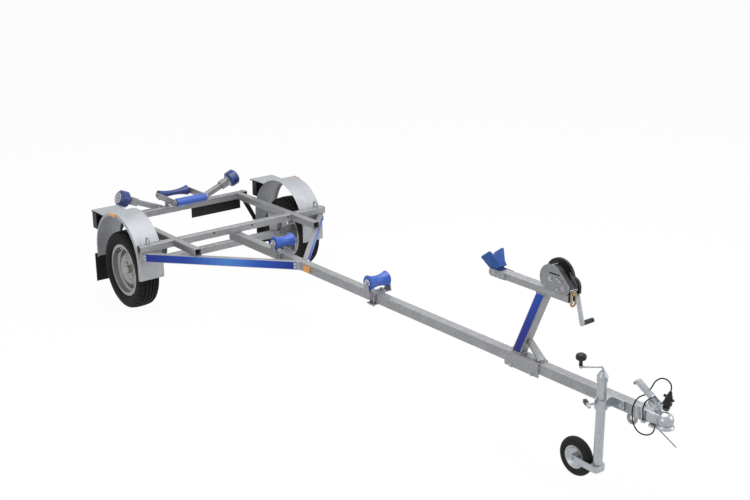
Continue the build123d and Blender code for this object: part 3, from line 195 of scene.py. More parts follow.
# Woven polyester strap: dull black with a weave, drawn 3 mm wide so that it shows
def wovenStrap():
    made, tree, shader = newMaterial("wovenPolyesterStrap", Roughness=0.8, Sheen_Weight=0.3)
    place = objectPlace(tree)
    across, along = (wave(tree, place, strap["pitch"], direction) for direction in ("Y", "X"))
    weave = mixed(tree, across, along, strap["alongShare"])
    stops = ((strap["darkAt"], linear(strap["dark"])), (strap["paleAt"], linear(strap["pale"])))
    connect(tree, shader, Base_Color=toned(tree, weave, stops),
            Normal=bumped(tree, weave, strap["bump"], strap["depth"]))
    return made


filmDust = {"size": 3, "detail": 2.0, "bump": 0.15, "depth": 0.05}


# Blue film on steel: satin; its colour shades from navy to a lighter blue along one direction, which is painted light
# and shade
def blueFilm(name, axis, low, high, stops):
    made, tree, shader = newMaterial(name, Roughness=0.5, Specular_IOR_Level=0.25)
    place = objectPlace(tree)
    parts = addNode(tree, "ShaderNodeSeparateXYZ", links={"Vector": place})
    share = spread(tree, parts.outputs[axis], From_Min=low, From_Max=high)
    colours = [(position, linear(colour)) for position, colour in stops]
    dust = noise(tree, place, filmDust["size"], filmDust["detail"])
    connect(tree, shader, Base_Color=toned(tree, share, colours),
            Normal=bumped(tree, dust, filmDust["bump"], filmDust["depth"]))
    return made


finishes = {
    # galvanised: name, dark and pale tone, metallic, roughness from and to
    "galvanised": galvanisedSteel("hotDipGalvanisedSteel", "#868789", "#9e9fa2", 0.52, 0.36, 0.54),
    # grained: name, colour, size and depth of the grain in mm, contrast, roughness
    # Bright zinc plate: smoother and a little bluer than the dipped steel
    "zinc": grainedFinish("brightZincPlate", "#b4b9bf", 20, 0.1, 0.25, 0.3, Metallic=0.85),
    # Yellow passivated zinc: a dull brown-gold, darker in patches
    "yellow_zinc": grainedFinish("yellowPassivatedZinc", "#b09a72", 8, 0.05, 0.35, 0.4, Metallic=0.6),
    # Silver lacquer on pressed steel: a fine metallic grain with a soft shine
    "rim_silver": grainedFinish("silverLacqueredSteel", "#a2a2a2", 2, 0.02, 0.15, 0.36, Metallic=0.6),
    # Black dip coat on steel: satin, with a slight orange peel
    "black_steel": grainedFinish("blackCoatedSteel", "#18181a", 5, 0.1, 0.25, 0.45, Specular_IOR_Level=0.3),
    # Road tyre: dull black rubber, a little uneven in tone
    "tyre": grainedFinish("vulcanisedRubberTyre", "#191817", 4, 0.2, 0.35, 0.68, Specular_IOR_Level=0.15),
    # Black rubber of the cords, the flaps and the small tyre: dull, a little smoother than the road tyres
    "black_rubber": grainedFinish("blackRubber", "#171617", 4, 0.15, 0.35, 0.6, Specular_IOR_Level=0.2),
    # Moulded polyurethane: deep colour with a soft gloss
    "roller_blue": grainedFinish("mouldedPolyurethaneBlue", "#2455b6", 9, 0.12, 0.2, 0.36, Coat_Weight=0.15),
    "roller_navy": grainedFinish("mouldedPolyurethaneNavy", "#1e3578", 9, 0.12, 0.22, 0.38, Coat_Weight=0.15),
    # Moulded nylon: an even off-white, barely glossy
    "hub_white": grainedFinish("mouldedNylonWhite", "#d2d4d6", 7, 0.08, 0.1, 0.42),
    # Moulded rubber of the bow stop: duller and greyer than the rollers' blue
    "stop_blue": grainedFinish("mouldedRubberBlue", "#2c569c", 6, 0.2, 0.22, 0.5, Specular_IOR_Level=0.25),
    # Black injection-moulded plastic with a fine erosion texture
    "black_plastic": grainedFinish("mouldedBlackPlastic", "#1c1c1f", 2, 0.1, 0.25, 0.44, Specular_IOR_Level=0.3),
    "strap": wovenStrap(),
    # lenses: name, colours from a share of the height up, lowest and highest mm
    "red_lens": ribbedLens("acrylicTailLens", ((0.0, "#d8d4d0"), (0.33, "#9c1216"), (0.66, "#d07a18")), 498, 600),
    "amber_lens": ribbedLens("amberAcrylicReflector", ((0.0, "#d98a1a"), (0.5, "#e0921c")), 400, 700),
}
slotOf = {piece["node"]: piece["material_slot"] for piece in frame["record"]["subparts"]}
for nodeName, node in nodes.items():
    node.data.materials.clear()
    node.data.materials.append(finishes[slotOf[nodeName]])
# Zinc-coated sheet of the mudguards: paler than the dipped frame, with a broader, duller shine
mudguardSheet = galvanisedSteel("zincCoatedMudguardSheet", "#9b9da1", "#aeb1b6", 0.5, 0.52, 0.66)
for nodeName in ("fender_left", "fender_right"):
    nodes[nodeName].data.materials[0] = mudguardSheet


print("cords")
# Points in mm ahead, across and up; lengths and diameters in metres
cable = {
    "points": (
        (4030, -10, 402), (4030, -10, 366), (4008, -42, 350), (3968, -60, 360), (3938, -62, 398), (3926, -60, 452),
        (3934, -56, 504), (3944, -32, 532), (3950, 10, 530), (3964, 30, 566), (3980, 33, 606), (4014, 37, 634),
        (4050, 41, 632), (4074, 43, 608), (4066, 44, 575)),
    "length": 0.572, "diameter": 0.007,
}
lead = {
    "points": ((3982, -43, 424), (3982, -43, 448), (3982, -48, 474), (3985, -51, 499), (3991, -46, 522),
               (3999, -33, 537), (4005, -15.5, 542)),
    "length": 0.140, "diameter": 0.007,
}
wire = {
    "points": ((4046.7, -34, 407), (4068.7, -34, 407), (4108, -35, 390), (4146, -36, 372), (4180, -35, 354)),
    "length": 0.145, "diameter": 0.005,
}
cordMesh = {"roundness": 4, "order": 3, "steps": 8}
# Stranded steel wire: dull dark grey, uneven along its length
wireSteel = grainedFinish("strandedSteelWire", "#5c5e60", 3, 0.2, 0.4, 0.5, Metallic=0.6)


def routeCurve(name, route, look, slot, node, **facts):
    curve = bpy.data.curves.new(name, "CURVE")
    curve.dimensions = "3D"
    curve.bevel_depth = route["diameter"] / 2
    curve.bevel_resolution = cordMesh["roundness"]
    curve.use_fill_caps = True
    spline = curve.splines.new("NURBS")
    spline.points.add(len(route["points"]) - 1)
    for point, place in zip(spline.points, route["points"]):
        point.co = (*at(*place), 1)
    spline.order_u = cordMesh["order"]
    spline.use_endpoint_u = True
    spline.resolution_u = cordMesh["steps"]
    made = bpy.data.objects.new(name, curve)
    bpy.context.collection.objects.link(made)
    curve.materials.append(look)
    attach(made, "frame")
    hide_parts(node)


routeCurve("cableCord", cable, finishes["black_rubber"], "black_rubber", "cable", far_end="plug",
           stiffness="medium", lay="hanging", with_pieces=[nodes["plug"]])
routeCurve("leadCord", lead, finishes["black_rubber"], "black_rubber", "lead", far_end="object",
           stiffness="medium", lay="hanging")
routeCurve("wireCord", wire, wireSteel, "zinc", "safety_wire", far_end="bare", stiffness="stiff", lay="hanging")


# Modelling steps shared by the pieces below
def startPiece():
    if bpy.context.object and bpy.context.object.mode != "OBJECT":
        bpy.ops.object.mode_set(mode="OBJECT")
    bpy.ops.object.select_all(action="DESELECT")


def pick(piece):
    startPiece()
    piece.select_set(True)
    bpy.context.view_layer.objects.active = piece


# Leaves the piece in edit mode with the faces that pass the test selected
def pickFaces(piece, test):
    pick(piece)
    bpy.ops.object.mode_set(mode="EDIT")
    bpy.ops.mesh.select_mode(type="FACE")
    bpy.ops.mesh.select_all(action="DESELECT")
    bpy.ops.object.mode_set(mode="OBJECT")
    for face in piece.data.polygons:
        face.select = test(face)
    bpy.ops.object.mode_set(mode="EDIT")


# Moves the faces that pass the test, inset first where an inset is given; both in mm
def pushFaces(piece, test, push, inset=0):
    pickFaces(piece, test)
    if inset:
        bpy.ops.mesh.inset(thickness=inset * mm)
    bpy.ops.transform.translate(value=Vector(push) * mm)
    bpy.ops.object.mode_set(mode="OBJECT")


# Cuts off what is below a height in mm and closes the cut
def cutBelow(piece, height):
    pick(piece)
    bpy.ops.object.mode_set(mode="EDIT")
    bpy.ops.mesh.select_all(action="SELECT")
    bpy.ops.mesh.bisect(plane_co=at(0, 0, height), plane_no=(0, 0, 1), clear_inner=True, use_fill=True)
    bpy.ops.object.mode_set(mode="OBJECT")


def cleanMesh(piece):
    pick(piece)
    bpy.ops.object.transform_apply(location=True, rotation=True, scale=True)
    bpy.ops.object.mode_set(mode="EDIT")
    bpy.ops.mesh.select_all(action="SELECT")
    bpy.ops.mesh.remove_doubles(threshold=0.01 * mm)
    bpy.ops.mesh.normals_make_consistent(inside=False)
    bpy.ops.object.mode_set(mode="OBJECT")


def finishPiece(piece, name, body, slot, look=None, angle=35):
    cleanMesh(piece)
    bpy.ops.object.shade_smooth_by_angle(angle=math.radians(angle))
    piece.name = name
    piece.data.name = name
    piece.data.materials.clear()
    piece.data.materials.append(look or finishes[slot])
    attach(piece, body)
    return piece


# Local Z turned to point outward at a place
def turnTo(place, outward):
    return Matrix.Translation(place) @ Vector(outward).to_track_quat("Z", "Y").to_matrix().to_4x4()


# Local X across, local Y up and local Z forward, leaning back by an angle in degrees
def facingForward(place, lean=0):
    sine, cosine = math.sin(math.radians(lean)), math.cos(math.radians(lean))
    return Matrix.Translation(at(*place)) @ Matrix(
        ((0, -sine, cosine, 0), (1, 0, 0, 0), (0, cosine, sine, 0), (0, 0, 0, 1)))


def copyTo(source, matrix):
    made = source.copy()
    made.data = source.data.copy()
    made.data.transform(matrix)
    bpy.context.collection.objects.link(made)
    return made


def joinPieces(pieces):
    startPiece()
    for piece in pieces:
        piece.select_set(True)
    bpy.context.view_layer.objects.active = pieces[0]
    bpy.ops.object.join()
    return bpy.context.view_layer.objects.active


def dropPiece(piece):
    pick(piece)
    bpy.ops.object.delete()


def beveled(piece, edge, segments=2):
    pick(piece)
    step = piece.modifiers.new("edge", "BEVEL")
    step.width = edge * mm
    step.segments = segments
    step.limit_method = "ANGLE"
    bpy.ops.object.modifier_apply(modifier=step.name)
    return piece


# A line of edges through points in metres, left in edit mode with all of it selected
def drawnLine(points):
    startPiece()
    bpy.ops.mesh.primitive_plane_add(size=mm)
    bpy.ops.object.mode_set(mode="EDIT")
    bpy.ops.mesh.select_mode(type="VERT")
    bpy.ops.mesh.select_all(action="SELECT")
    bpy.ops.mesh.merge(type="CENTER")
    bpy.ops.mesh.select_all(action="SELECT")
    bpy.ops.transform.translate(value=points[0])
    for before, after in zip(points, points[1:]):
        bpy.ops.mesh.extrude_vertices_move(TRANSFORM_OT_translate={"value": after - before})
    bpy.ops.mesh.select_all(action="SELECT")
    return bpy.context.object


# A turned shape about local Z, from (radius, height) points in mm, drawn as a line and spun, then put in place.
# The line is closed on itself, or down to the axis where one end is there
def spunShape(points, steps, matrix=Matrix()):
    first, last = points[0], points[-1]
    if last[0] == 0 and first[0] > 0:
        points = [(0, first[1]), *points]
    elif last[0] > 0 and first != last:
        points = [*points, first]
    piece = drawnLine([Vector((radius, 0, height)) * mm for radius, height in points])
    bpy.ops.mesh.spin(steps=steps, angle=2 * math.pi, center=(0, 0, 0), axis=(0, 0, 1))
    bpy.ops.mesh.select_all(action="SELECT")
    bpy.ops.mesh.remove_doubles(threshold=0.02 * mm)
    bpy.ops.mesh.normals_make_consistent(inside=False)
    bpy.ops.object.mode_set(mode="OBJECT")
    piece.data.transform(matrix)
    return piece


# A flat outline in mm, filled and drawn out along local Z
def prismShape(points, depth):
    piece = drawnLine([Vector((x, y, 0)) * mm for x, y in points])
    bpy.ops.mesh.edge_face_add()
    bpy.ops.mesh.select_all(action="SELECT")
    bpy.ops.mesh.extrude_region_move(TRANSFORM_OT_translate={"value": (0, 0, depth * mm)})
    bpy.ops.mesh.select_all(action="SELECT")
    bpy.ops.mesh.normals_make_consistent(inside=False)
    bpy.ops.object.mode_set(mode="OBJECT")
    return piece


# A box drawn at its size and place, turned about its centre
def plateBox(size, place, turn=(0, 0, 0)):
    startPiece()
    bpy.ops.mesh.primitive_cube_add(size=1, location=place, rotation=turn)
    piece = bpy.context.object
    piece.scale = [side * mm for side in size]
    bpy.ops.object.transform_apply(location=True, rotation=True, scale=True)
    return piece


print("road tyres")
roadTyre = {
    "centre": (0, 677, 273),
    # half of the section from the bead to the crown: across, radius
    "wall": ((57, 167), (62, 184), (69, 189), (73, 193), (72, 197), (76, 207), (78.6, 220), (78, 233), (75, 245),
             (73.5, 247), (73.5, 250), (70, 258), (66, 263.5), (59, 267.5)),
    "tread": ((46, 270), (44.5, 270), (43, 263), (37, 263), (35.5, 271), (20, 272), (18.5, 272), (17, 264.5),
              (11, 264.5), (9.5, 272.6), (0, 272.8)),
    "beadRadius": 166, "beadAcross": 40,
    "steps": 108,
    # sipes on the shoulder: every so many steps, between two places across and outside a radius
    "sipeEvery": 3, "sipeFrom": 46, "sipeTo": 69, "sipeOutside": 256, "sipeWall": 3.5, "sipeDepth": 4,
}
valve = {
    "place": (-108, 22, 108), "lean": (0.25, 1, -0.25), "steps": 14,
    "stem": ((0, 0), (5.5, 0), (5.5, 6), (3.6, 9), (3.6, 24), (4.6, 25), (4.6, 33), (0, 33)),
}


def roadTyrePiece():
    half = roadTyre["wall"] + roadTyre["tread"]
    section = [(radius, -across) for across, radius in half]
    section += [(radius, across) for across, radius in reversed(half[:-1])]
    section += [(roadTyre["beadRadius"], roadTyre["beadAcross"]), (roadTyre["beadRadius"], -roadTyre["beadAcross"])]
    piece = spunShape(section, roadTyre["steps"])
    pitch = 2 * math.pi / roadTyre["steps"]

    def onShoulder(face):
        step = round((math.atan2(face.center.y, face.center.x) / pitch) - 0.5) % roadTyre["sipeEvery"]
        outside = math.hypot(face.center.x, face.center.y) > roadTyre["sipeOutside"] * mm
        return step == 0 and outside and roadTyre["sipeFrom"] < abs(face.center.z) / mm < roadTyre["sipeTo"]

    pickFaces(piece, onShoulder)
    bpy.ops.mesh.inset(thickness=roadTyre["sipeWall"] * mm, depth=-roadTyre["sipeDepth"] * mm, use_even_offset=True)
    bpy.ops.object.mode_set(mode="OBJECT")
    return piece


tyreMaster = roadTyrePiece()
for sideName, side in sides:
    centre = at(*flipped(roadTyre["centre"], side))
    tyre = copyTo(tyreMaster, Matrix.Translation(centre) @ Matrix.Rotation(math.radians(90), 4, "X"))
    finishPiece(tyre, f"tyre_{sideName}_tread", f"wheel_{sideName}", "tyre", angle=40)
    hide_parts(f"tyre_{sideName}")
    stemFoot = centre + Vector(flipped(valve["place"], side)) * mm
    stem = spunShape(valve["stem"], valve["steps"], turnTo(stemFoot, flipped(valve["lean"], side)))
    finishPiece(stem, f"valve_{sideName}", f"wheel_{sideName}", "black_rubber")
dropPiece(tyreMaster)


print("blue film on the braces and the post")
braceFilm = {
    "run": Vector((-0.74749, -0.66427, 0)), "face": Vector((0.66427, -0.74749, 0)), "start": (1090, -30, 444),
    "from": 4, "to": 1056, "height": 50, "thick": 0.6, "edge": 0.2, "halfBrace": 17,
    "paintedLightFrom": 291, "paintedLightTo": 1090,
    # The shades along the brace are painted light: navy at both ends, with a painted highlight of lighter blue a
    # little past the middle
    "paintedLightShades": ((0.0, "#1c2a86"), (0.3, "#2445a2"), (0.58, "#4a80cc"), (0.78, "#2850b0"), (1.0, "#1a2a86")),
}
braceFilmPaintedHighlight = blueFilm("blueFilmWithPaintedHighlightAlongBrace", "X", (braceFilm["paintedLightFrom"] + wheelAxisX) * mm,
                     (braceFilm["paintedLightTo"] + wheelAxisX) * mm, braceFilm["paintedLightShades"])
for sideName, side in sides:
    middle = at(*braceFilm["start"]) + braceFilm["run"] * (braceFilm["from"] + braceFilm["to"]) / 2 * mm
    middle += braceFilm["face"] * (braceFilm["halfBrace"] + braceFilm["thick"] / 2) * mm
    size = (braceFilm["to"] - braceFilm["from"], braceFilm["thick"], braceFilm["height"])
    film = plateBox(size, middle, (0, 0, math.atan2(braceFilm["run"].y, braceFilm["run"].x)))
    if side > 0:
        film.data.transform(Matrix.Scale(-1, 4, (0, 1, 0)))
    beveled(film, braceFilm["edge"])
    finishPiece(film, f"brace_film_{sideName}", "frame", "roller_navy", braceFilmPaintedHighlight)

postFilm = {
    "foot": (3104, 480), "top": (3270, 865), "half": 25.5, "thick": 0.6, "edge": 0.2, "side": 30,
    "low": 0.03, "high": 0.985,  # shares of the post's height
    # The shades up the post are painted light and shade: darker navy at the foot, lighter blue towards the top
    "paintedLightShades": ((0.0, "#1c1c74"), (0.45, "#1f2f8e"), (1.0, "#234aa8")),
}
footX, footZ = postFilm["foot"]
topX, topZ = postFilm["top"]
share = postFilm["high"] - postFilm["low"]
postFilmPaintedLight = blueFilm("blueFilmWithPaintedLightUpPost", "Z", footZ * mm, topZ * mm, postFilm["paintedLightShades"])
for sideName, side in sides:
    middle = at(footX + (topX - footX) * postFilm["low"], side * (postFilm["side"] + postFilm["thick"] / 2),
                footZ + (topZ - footZ) * (postFilm["low"] + share / 2))
    film = plateBox((2 * postFilm["half"], postFilm["thick"], (topZ - footZ) * share), middle)
    pushFaces(film, lambda face: face.normal.z > 0.9, ((topX - footX) * share, 0, 0))
    beveled(film, postFilm["edge"])
    finishPiece(film, f"post_film_{sideName}", "frame", "roller_navy", postFilmPaintedLight)


print("bolts and nuts")
fastener = {
    # size: radius over the corners, height of the head, thread that stands out
    "sizes": {"m6": (5.8, 4.5, 2), "m8": (7.5, 5.8, 2.5), "m10": (9.6, 7.2, 3), "m12": (11, 8.5, 3.5)},
    # shares of that radius
    "bore": 0.4, "washer": 1.45, "washerTop": 1.38, "thread": 0.5, "threadTip": 0.42, "chamfer": 0.14,
    "crown": 0.12,  # share of the head's height
    "washerThick": 1.6, "washerEdge": 0.4, "tip": 0.8, "washerSteps": 20, "threadSteps": 12,
}


# Hexagon head on a washer, with the thread's end standing out of it; heights in mm from the seat
def hexFastener(radius, height, thread):
    thick, bore = fastener["washerThick"], fastener["bore"] * radius
    startPiece()
    bpy.ops.mesh.primitive_cylinder_add(vertices=6, radius=radius * mm, depth=height * mm,
                                        location=(0, 0, (thick + height / 2) * mm))
    head = bpy.context.object
    crown = (0, 0, fastener["crown"] * height)
    pushFaces(head, lambda face: face.normal.z > 0.9, crown, fastener["chamfer"] * radius)
    washer = spunShape(
        ((bore, 0), (fastener["washer"] * radius, 0), (fastener["washer"] * radius, thick - fastener["washerEdge"]),
         (fastener["washerTop"] * radius, thick), (bore, thick)), fastener["washerSteps"])
    side, top = fastener["thread"] * radius, height + thread
    end = spunShape(
        ((side, height), (side, top), (fastener["threadTip"] * radius, top + fastener["tip"]),
         (0, top + fastener["tip"])), fastener["threadSteps"])
    whole = joinPieces([head, washer, end])
    cleanMesh(whole)
    return whole


masters = {size: hexFastener(*shape) for size, shape in fastener["sizes"].items()}
right, left, up, down, back = (0, -1, 0), (0, 1, 0), (0, 0, 1), (0, 0, -1), (-1, 0, 0)
boltSpots = {
    "braceRuns": (14, 1046), "braceHeights": (433, 455),
    "rollers": (880, 1890), "rollerSteps": (-16, 16), "clampSide": -42, "clampTop": 480, "clampFoot": 408,
    "axleSide": -86, "axleHeight": 548,
    # size, place, outward, whether its mirror image is there too
    "rows": (
        ("m10", (3080, -36, 405), right, True), ("m10", (3230, -36, 405), right, True),
        ("m10", (3751, -39, 449), right, False), ("m10", (3841, -39, 449), right, False),
        ("m6", (-300, -580, 626), up, True), ("m6", (-232, -580, 626), up, True),
        ("m6", (-358, -620, 298), back, True), ("m6", (-358, -684, 298), back, True),
        ("m6", (-358, -748, 298), back, True),
        ("m8", (291, -594, 524), up, True), ("m8", (291, -736, 524), up, True),
        ("m8", (-446, -520, 524), up, True), ("m8", (-446, -200, 524), up, True),
        ("m10", (-588, -136, 574), right, True), ("m10", (-324, -136, 574), right, True),
        ("m8", (-471, -120, 506), back, True), ("m8", (-471, -420, 499), back, True),
        ("m8", (3950, -35, 444), right, True), ("m8", (3958, 0, 479), up, False),
        ("m10", (3338, -33, 965), right, False), ("m10", (3425, -33, 935), right, False),
        ("m6", (3388, -33, 918), right, False), ("m6", (3300, -33, 918), right, False),
        ("m6", (3000, -34, 885), right, True), ("m8", (2934, -34, 892), right, True),
        ("m6", (3275, 52, 1010), left, False), ("m6", (3400, 52, 1000), left, False),
        ("m6", (3440, 52, 915), left, False), ("m8", (4034, -14, 512), right, True),
    ),
}
rows = []
for along in boltSpots["braceRuns"]:
    for height in boltSpots["braceHeights"]:
        spot = Vector(braceFilm["start"]) + braceFilm["run"] * along + braceFilm["face"] * braceFilm["halfBrace"]
        rows.append(("m8", (spot.x, spot.y, height), tuple(braceFilm["face"]), True))
for rollerAhead in boltSpots["rollers"]:
    for step in boltSpots["rollerSteps"]:
        clampAt = (rollerAhead + step, boltSpots["clampSide"])
        rows.append(("m10", (*clampAt, boltSpots["clampTop"]), up, True))
        rows.append(("m10", (*clampAt, boltSpots["clampFoot"]), down, True))
    rows.append(("m12", (rollerAhead, boltSpots["axleSide"], boltSpots["axleHeight"]), right, True))
rows += boltSpots["rows"]
frameBolts = []
for size, place, outward, mirrored in rows:
    for side in (1, -1) if mirrored else (1,):
        matrix = turnTo(at(*flipped(place, side)), flipped(outward, side))
        frameBolts.append(copyTo(masters[size], matrix))
finishPiece(joinPieces(frameBolts), "frame_bolts", "frame", "zinc", angle=28)
jockeyAxle = {"ahead": 3625, "across": -97, "up": 105, "fork": 36}
forkBolts = []
for side in (-1, 1):
    seat = at(jockeyAxle["ahead"], jockeyAxle["across"] + side * jockeyAxle["fork"], jockeyAxle["up"])
    forkBolts.append(copyTo(masters["m10"], turnTo(seat, (0, side, 0))))
finishPiece(joinPieces(forkBolts), "fork_bolts", "jockey_caster", "zinc", angle=28)
for master in masters.values():
    dropPiece(master)


print("roller bushes")
bush = {
    "inner": 13, "thick": 3.4, "edge": 0.8, "steps": 32,
    # name, ahead, up, the near face's place across, outer radius, slot
    "rows": (
        ("keel_bush_rear", 880, 548, 75.9, 24, "hub_white"),
        ("keel_bush_front", 1890, 548, 75.9, 24, "hub_white"),
        ("cradle_bush", -324, 574, 125.9, 25, "black_plastic"),
        ("stern_bush", -588, 574, 125.9, 22, "black_plastic"),
    ),
}
for name, bushAhead, height, near, outer, slot in bush["rows"]:
    inner, thick, edge = bush["inner"], bush["thick"], bush["edge"]
    profile = ((inner, 0), (outer - edge, 0), (outer, edge),
               (outer, thick - edge), (outer - edge, thick), (inner, thick))
    ends = [spunShape(profile, bush["steps"], turnTo(at(bushAhead, side * near, height), (0, side, 0)))
            for side in (-1, 1)]
    finishPiece(joinPieces(ends), name, "frame", slot)


print("bow stop")
bowStop = {
    "foot": (2896.6, 0, 891.5), "lean": 36, "depth": 75, "edge": 2.5, "segments": 3,
    # across, up the lean
    "outline": ((-29, -12), (-29, 14), (-56, 81), (-45, 88), (0, 26), (45, 88), (56, 81), (29, 14), (29, -12)),
    "lug": ((-29, -31), (-29, -8), (29, -8), (29, -31)), "lugFrom": 13, "lugDepth": 34,
}
stopWings = prismShape(bowStop["outline"], bowStop["depth"])
stopLug = prismShape(bowStop["lug"], bowStop["lugDepth"])
stopLug.data.transform(Matrix.Translation((0, 0, bowStop["lugFrom"] * mm)))
for piece in (stopWings, stopLug):
    beveled(piece, bowStop["edge"], bowStop["segments"])
    piece.data.transform(facingForward(bowStop["foot"], bowStop["lean"]))
stopPiece = finishPiece(joinPieces([stopWings, stopLug]), "bow_stop_wings", "frame", "stop_blue", angle=40)
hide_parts("bow_stop")


print("winch details")
winch = {
    "drum": (3338, 0, 965), "shaft": (3425, 0, 935), "headTop": 905, "coverFace": 52,
    "drumSteps": 48, "bossSteps": 28, "lipAbove": 1, "ribsAbove": 3,
    # profiles: radius, across
    "lip": ((60, 27.2), (80, 27.2), (80, 33), (77, 33), (77, 28.4), (60, 28.4)),
    "ring": ((66, 51.6), (66, 54), (67, 54.6), (71, 54.6), (72, 54), (72, 51.6)),
    "boss": ((12, 51.6), (12, 55), (22, 55), (24, 53.5), (24, 51.6)),
    "strap": ((44, -23.5), (54.4, -23.5), (55.2, -22), (55.2, 22), (54.4, 23.5), (44, 23.5)),
    "turnRadii": (47, 50.5), "turnThick": 2.4, "turnHalf": 24.1,
    "ribs": 7, "ribRadius": 48, "ribSize": (36, 2.4, 4), "ribStand": 0.8, "ribEdge": 0.6,
    "ribFrom": -20, "ribSweep": 220,  # degrees
    "plateGrey": "#8e9093",
}
pawl = {"size": (34, 5, 9), "place": (3392, -36, 972), "turn": 24, "tip": (10, -2, 2), "edge": 1.2}
drumPlace = turnTo(at(*winch["drum"]), left)
lip = spunShape(winch["lip"], winch["drumSteps"], drumPlace)
cutBelow(lip, winch["headTop"] + winch["lipAbove"])
finishPiece(lip, "winch_cover_lip", "frame", "black_plastic")
coverParts = [spunShape(winch["ring"], winch["drumSteps"], drumPlace),
              spunShape(winch["boss"], winch["bossSteps"], turnTo(at(*winch["shaft"]), left))]
for index in range(winch["ribs"]):
    angle = math.radians(winch["ribFrom"] + index * winch["ribSweep"] / (winch["ribs"] - 1))
    spot = at(winch["drum"][0] + winch["ribRadius"] * math.cos(angle), winch["coverFace"] + winch["ribStand"],
              winch["drum"][2] + winch["ribRadius"] * math.sin(angle))
    coverParts.append(beveled(plateBox(winch["ribSize"], spot, (0, -angle, 0)), winch["ribEdge"]))
ribs = joinPieces(coverParts)
cutBelow(ribs, winch["headTop"] + winch["ribsAbove"])
finishPiece(ribs, "winch_cover_ribs", "frame", "black_plastic")
# Zinc-plated pressed steel of the side plates: greyer and duller than the coupling
winchZinc = grainedFinish("pressedZincSteel", winch["plateGrey"], 12, 0.15, 0.25, 0.42, Metallic=0.6)
nodes["winch_frame"].data.materials[0] = winchZinc
pawlPiece = plateBox(pawl["size"], at(*pawl["place"]), (0, math.radians(pawl["turn"]), 0))
pickFaces(pawlPiece, lambda face: face.normal.x > 0.5)
bpy.ops.mesh.extrude_region_move(TRANSFORM_OT_translate={"value": Vector(pawl["tip"]) * mm})
bpy.ops.object.mode_set(mode="OBJECT")
finishPiece(beveled(pawlPiece, pawl["edge"]), "winch_pawl", "frame", "zinc")
strapTurns = [spunShape(winch["strap"], winch["drumSteps"], drumPlace)]
for inner in winch["turnRadii"]:
    outer, half = inner + winch["turnThick"], winch["turnHalf"]
    profile = ((inner, -half), (outer, -half), (outer, half), (inner, half))
    strapTurns.append(spunShape(profile, winch["drumSteps"], drumPlace))
finishPiece(joinPieces(strapTurns), "winch_strap_turns", "frame", "strap")


print("winch post's gusset plate")
gusset = {"middle": (3227.5, 0, 530.4), "size": (124, 58, 4), "slope": 46.8, "topShare": 0.45, "edge": 1}
gussetPlate = plateBox(gusset["size"], at(*gusset["middle"]), (0, math.radians(gusset["slope"]), 0))
pickFaces(gussetPlate, lambda face: face.normal.x < -0.5 and face.normal.z > 0.5)
bpy.ops.transform.resize(value=(1, gusset["topShare"], 1))
bpy.ops.object.mode_set(mode="OBJECT")
finishPiece(beveled(gussetPlate, gusset["edge"]), "gusset_plate", "frame", "galvanised")


print("snap hook")
hook = {
    "low": 862, "rise": 44, "ahead": 3467, "loop": 16.5, "rod": 6, "loopSteps": 40, "rodSteps": 14,
    "swivel": ((0, 0), (9, 0), (11, 3), (11, 9), (8, 13), (8, 20), (0, 20)), "swivelSteps": 20, "swivelDrop": 4,
    "gate": (3, 7, 46), "gateAhead": 5, "gateAcross": -13, "gateUp": 22, "gateLean": 9, "gateEdge": 1,
}
startPiece()
bpy.ops.mesh.primitive_torus_add(major_segments=hook["loopSteps"], minor_segments=hook["rodSteps"],
                                 major_radius=hook["loop"] * mm, minor_radius=hook["rod"] * mm,
                                 location=(0, 0, 0), rotation=(0, math.radians(90), 0))
link = bpy.context.object
cleanMesh(link)
pushFaces(link, lambda face: face.center.z > 0, (0, 0, hook["rise"]))
link.data.transform(Matrix.Translation(at(hook["ahead"], 0, hook["low"])))
swivelFoot = at(hook["ahead"], 0, hook["low"] + hook["rise"] - hook["swivelDrop"])
swivel = spunShape(hook["swivel"], hook["swivelSteps"], Matrix.Translation(swivelFoot))
hookBody = finishPiece(joinPieces([link, swivel]), "snap_hook", "frame", "yellow_zinc")
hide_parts("winch_hook")
gateMiddle = at(hook["ahead"] + hook["gateAhead"], hook["gateAcross"], hook["low"] + hook["gateUp"])
gate = plateBox(hook["gate"], gateMiddle, (math.radians(hook["gateLean"]), 0, 0))
finishPiece(beveled(gate, hook["gateEdge"]), "snap_hook_gate", "frame", "zinc")
# The strap's end is folded round a flat wire eye above the hook
strapEye = {
    "place": (3464.5, 0, 931), "thick": 5, "edge": 1.2,
    # across, up
    "outline": ((-26, -10), (-26, 3), (26, 3), (26, -10), (20, -10), (20, -2), (-20, -2), (-20, -10)),
}
eye = beveled(prismShape(strapEye["outline"], strapEye["thick"]), strapEye["edge"])
eye.data.transform(facingForward(strapEye["place"]))
finishPiece(eye, "strap_end_eye", "frame", "zinc")


print("jockey wheel details")
collar = {
    "ahead": 3765, "across": -97, "steps": 36,
    "rings": ((593.5, 28.2), (570.5, 28.0)),  # height, radius
    "profile": ((-2.6, 0), (0, 0), (0.7, 1.2), (0, 3.4), (-2.6, 3.4)),  # outward, up
}
collarRings = []
for height, radius in collar["rings"]:
    profile = [(radius + outward, rise) for outward, rise in collar["profile"]]
    ringPlace = Matrix.Translation(at(collar["ahead"], collar["across"], height))
    collarRings.append(spunShape(profile, collar["steps"], ringPlace))
finishPiece(joinPieces(collarRings), "jockey_collar_rings", "jockey_leg", "zinc")
knob = {
    "place": (3696, -181, 649), "steps": 40,
    "profile": ((0, 0), (9, 0), (10.5, 3), (9, 13), (9.5, 24), (14, 29), (24, 34), (27, 41), (27, 49), (25, 57),
                (17, 63), (8, 65.6), (0, 66)),
}
knobPiece = spunShape(knob["profile"], knob["steps"], Matrix.Translation(at(*knob["place"])))
finishPiece(knobPiece, "crank_knob", "jockey_leg", "black_plastic", angle=50)
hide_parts("jockey_knob")
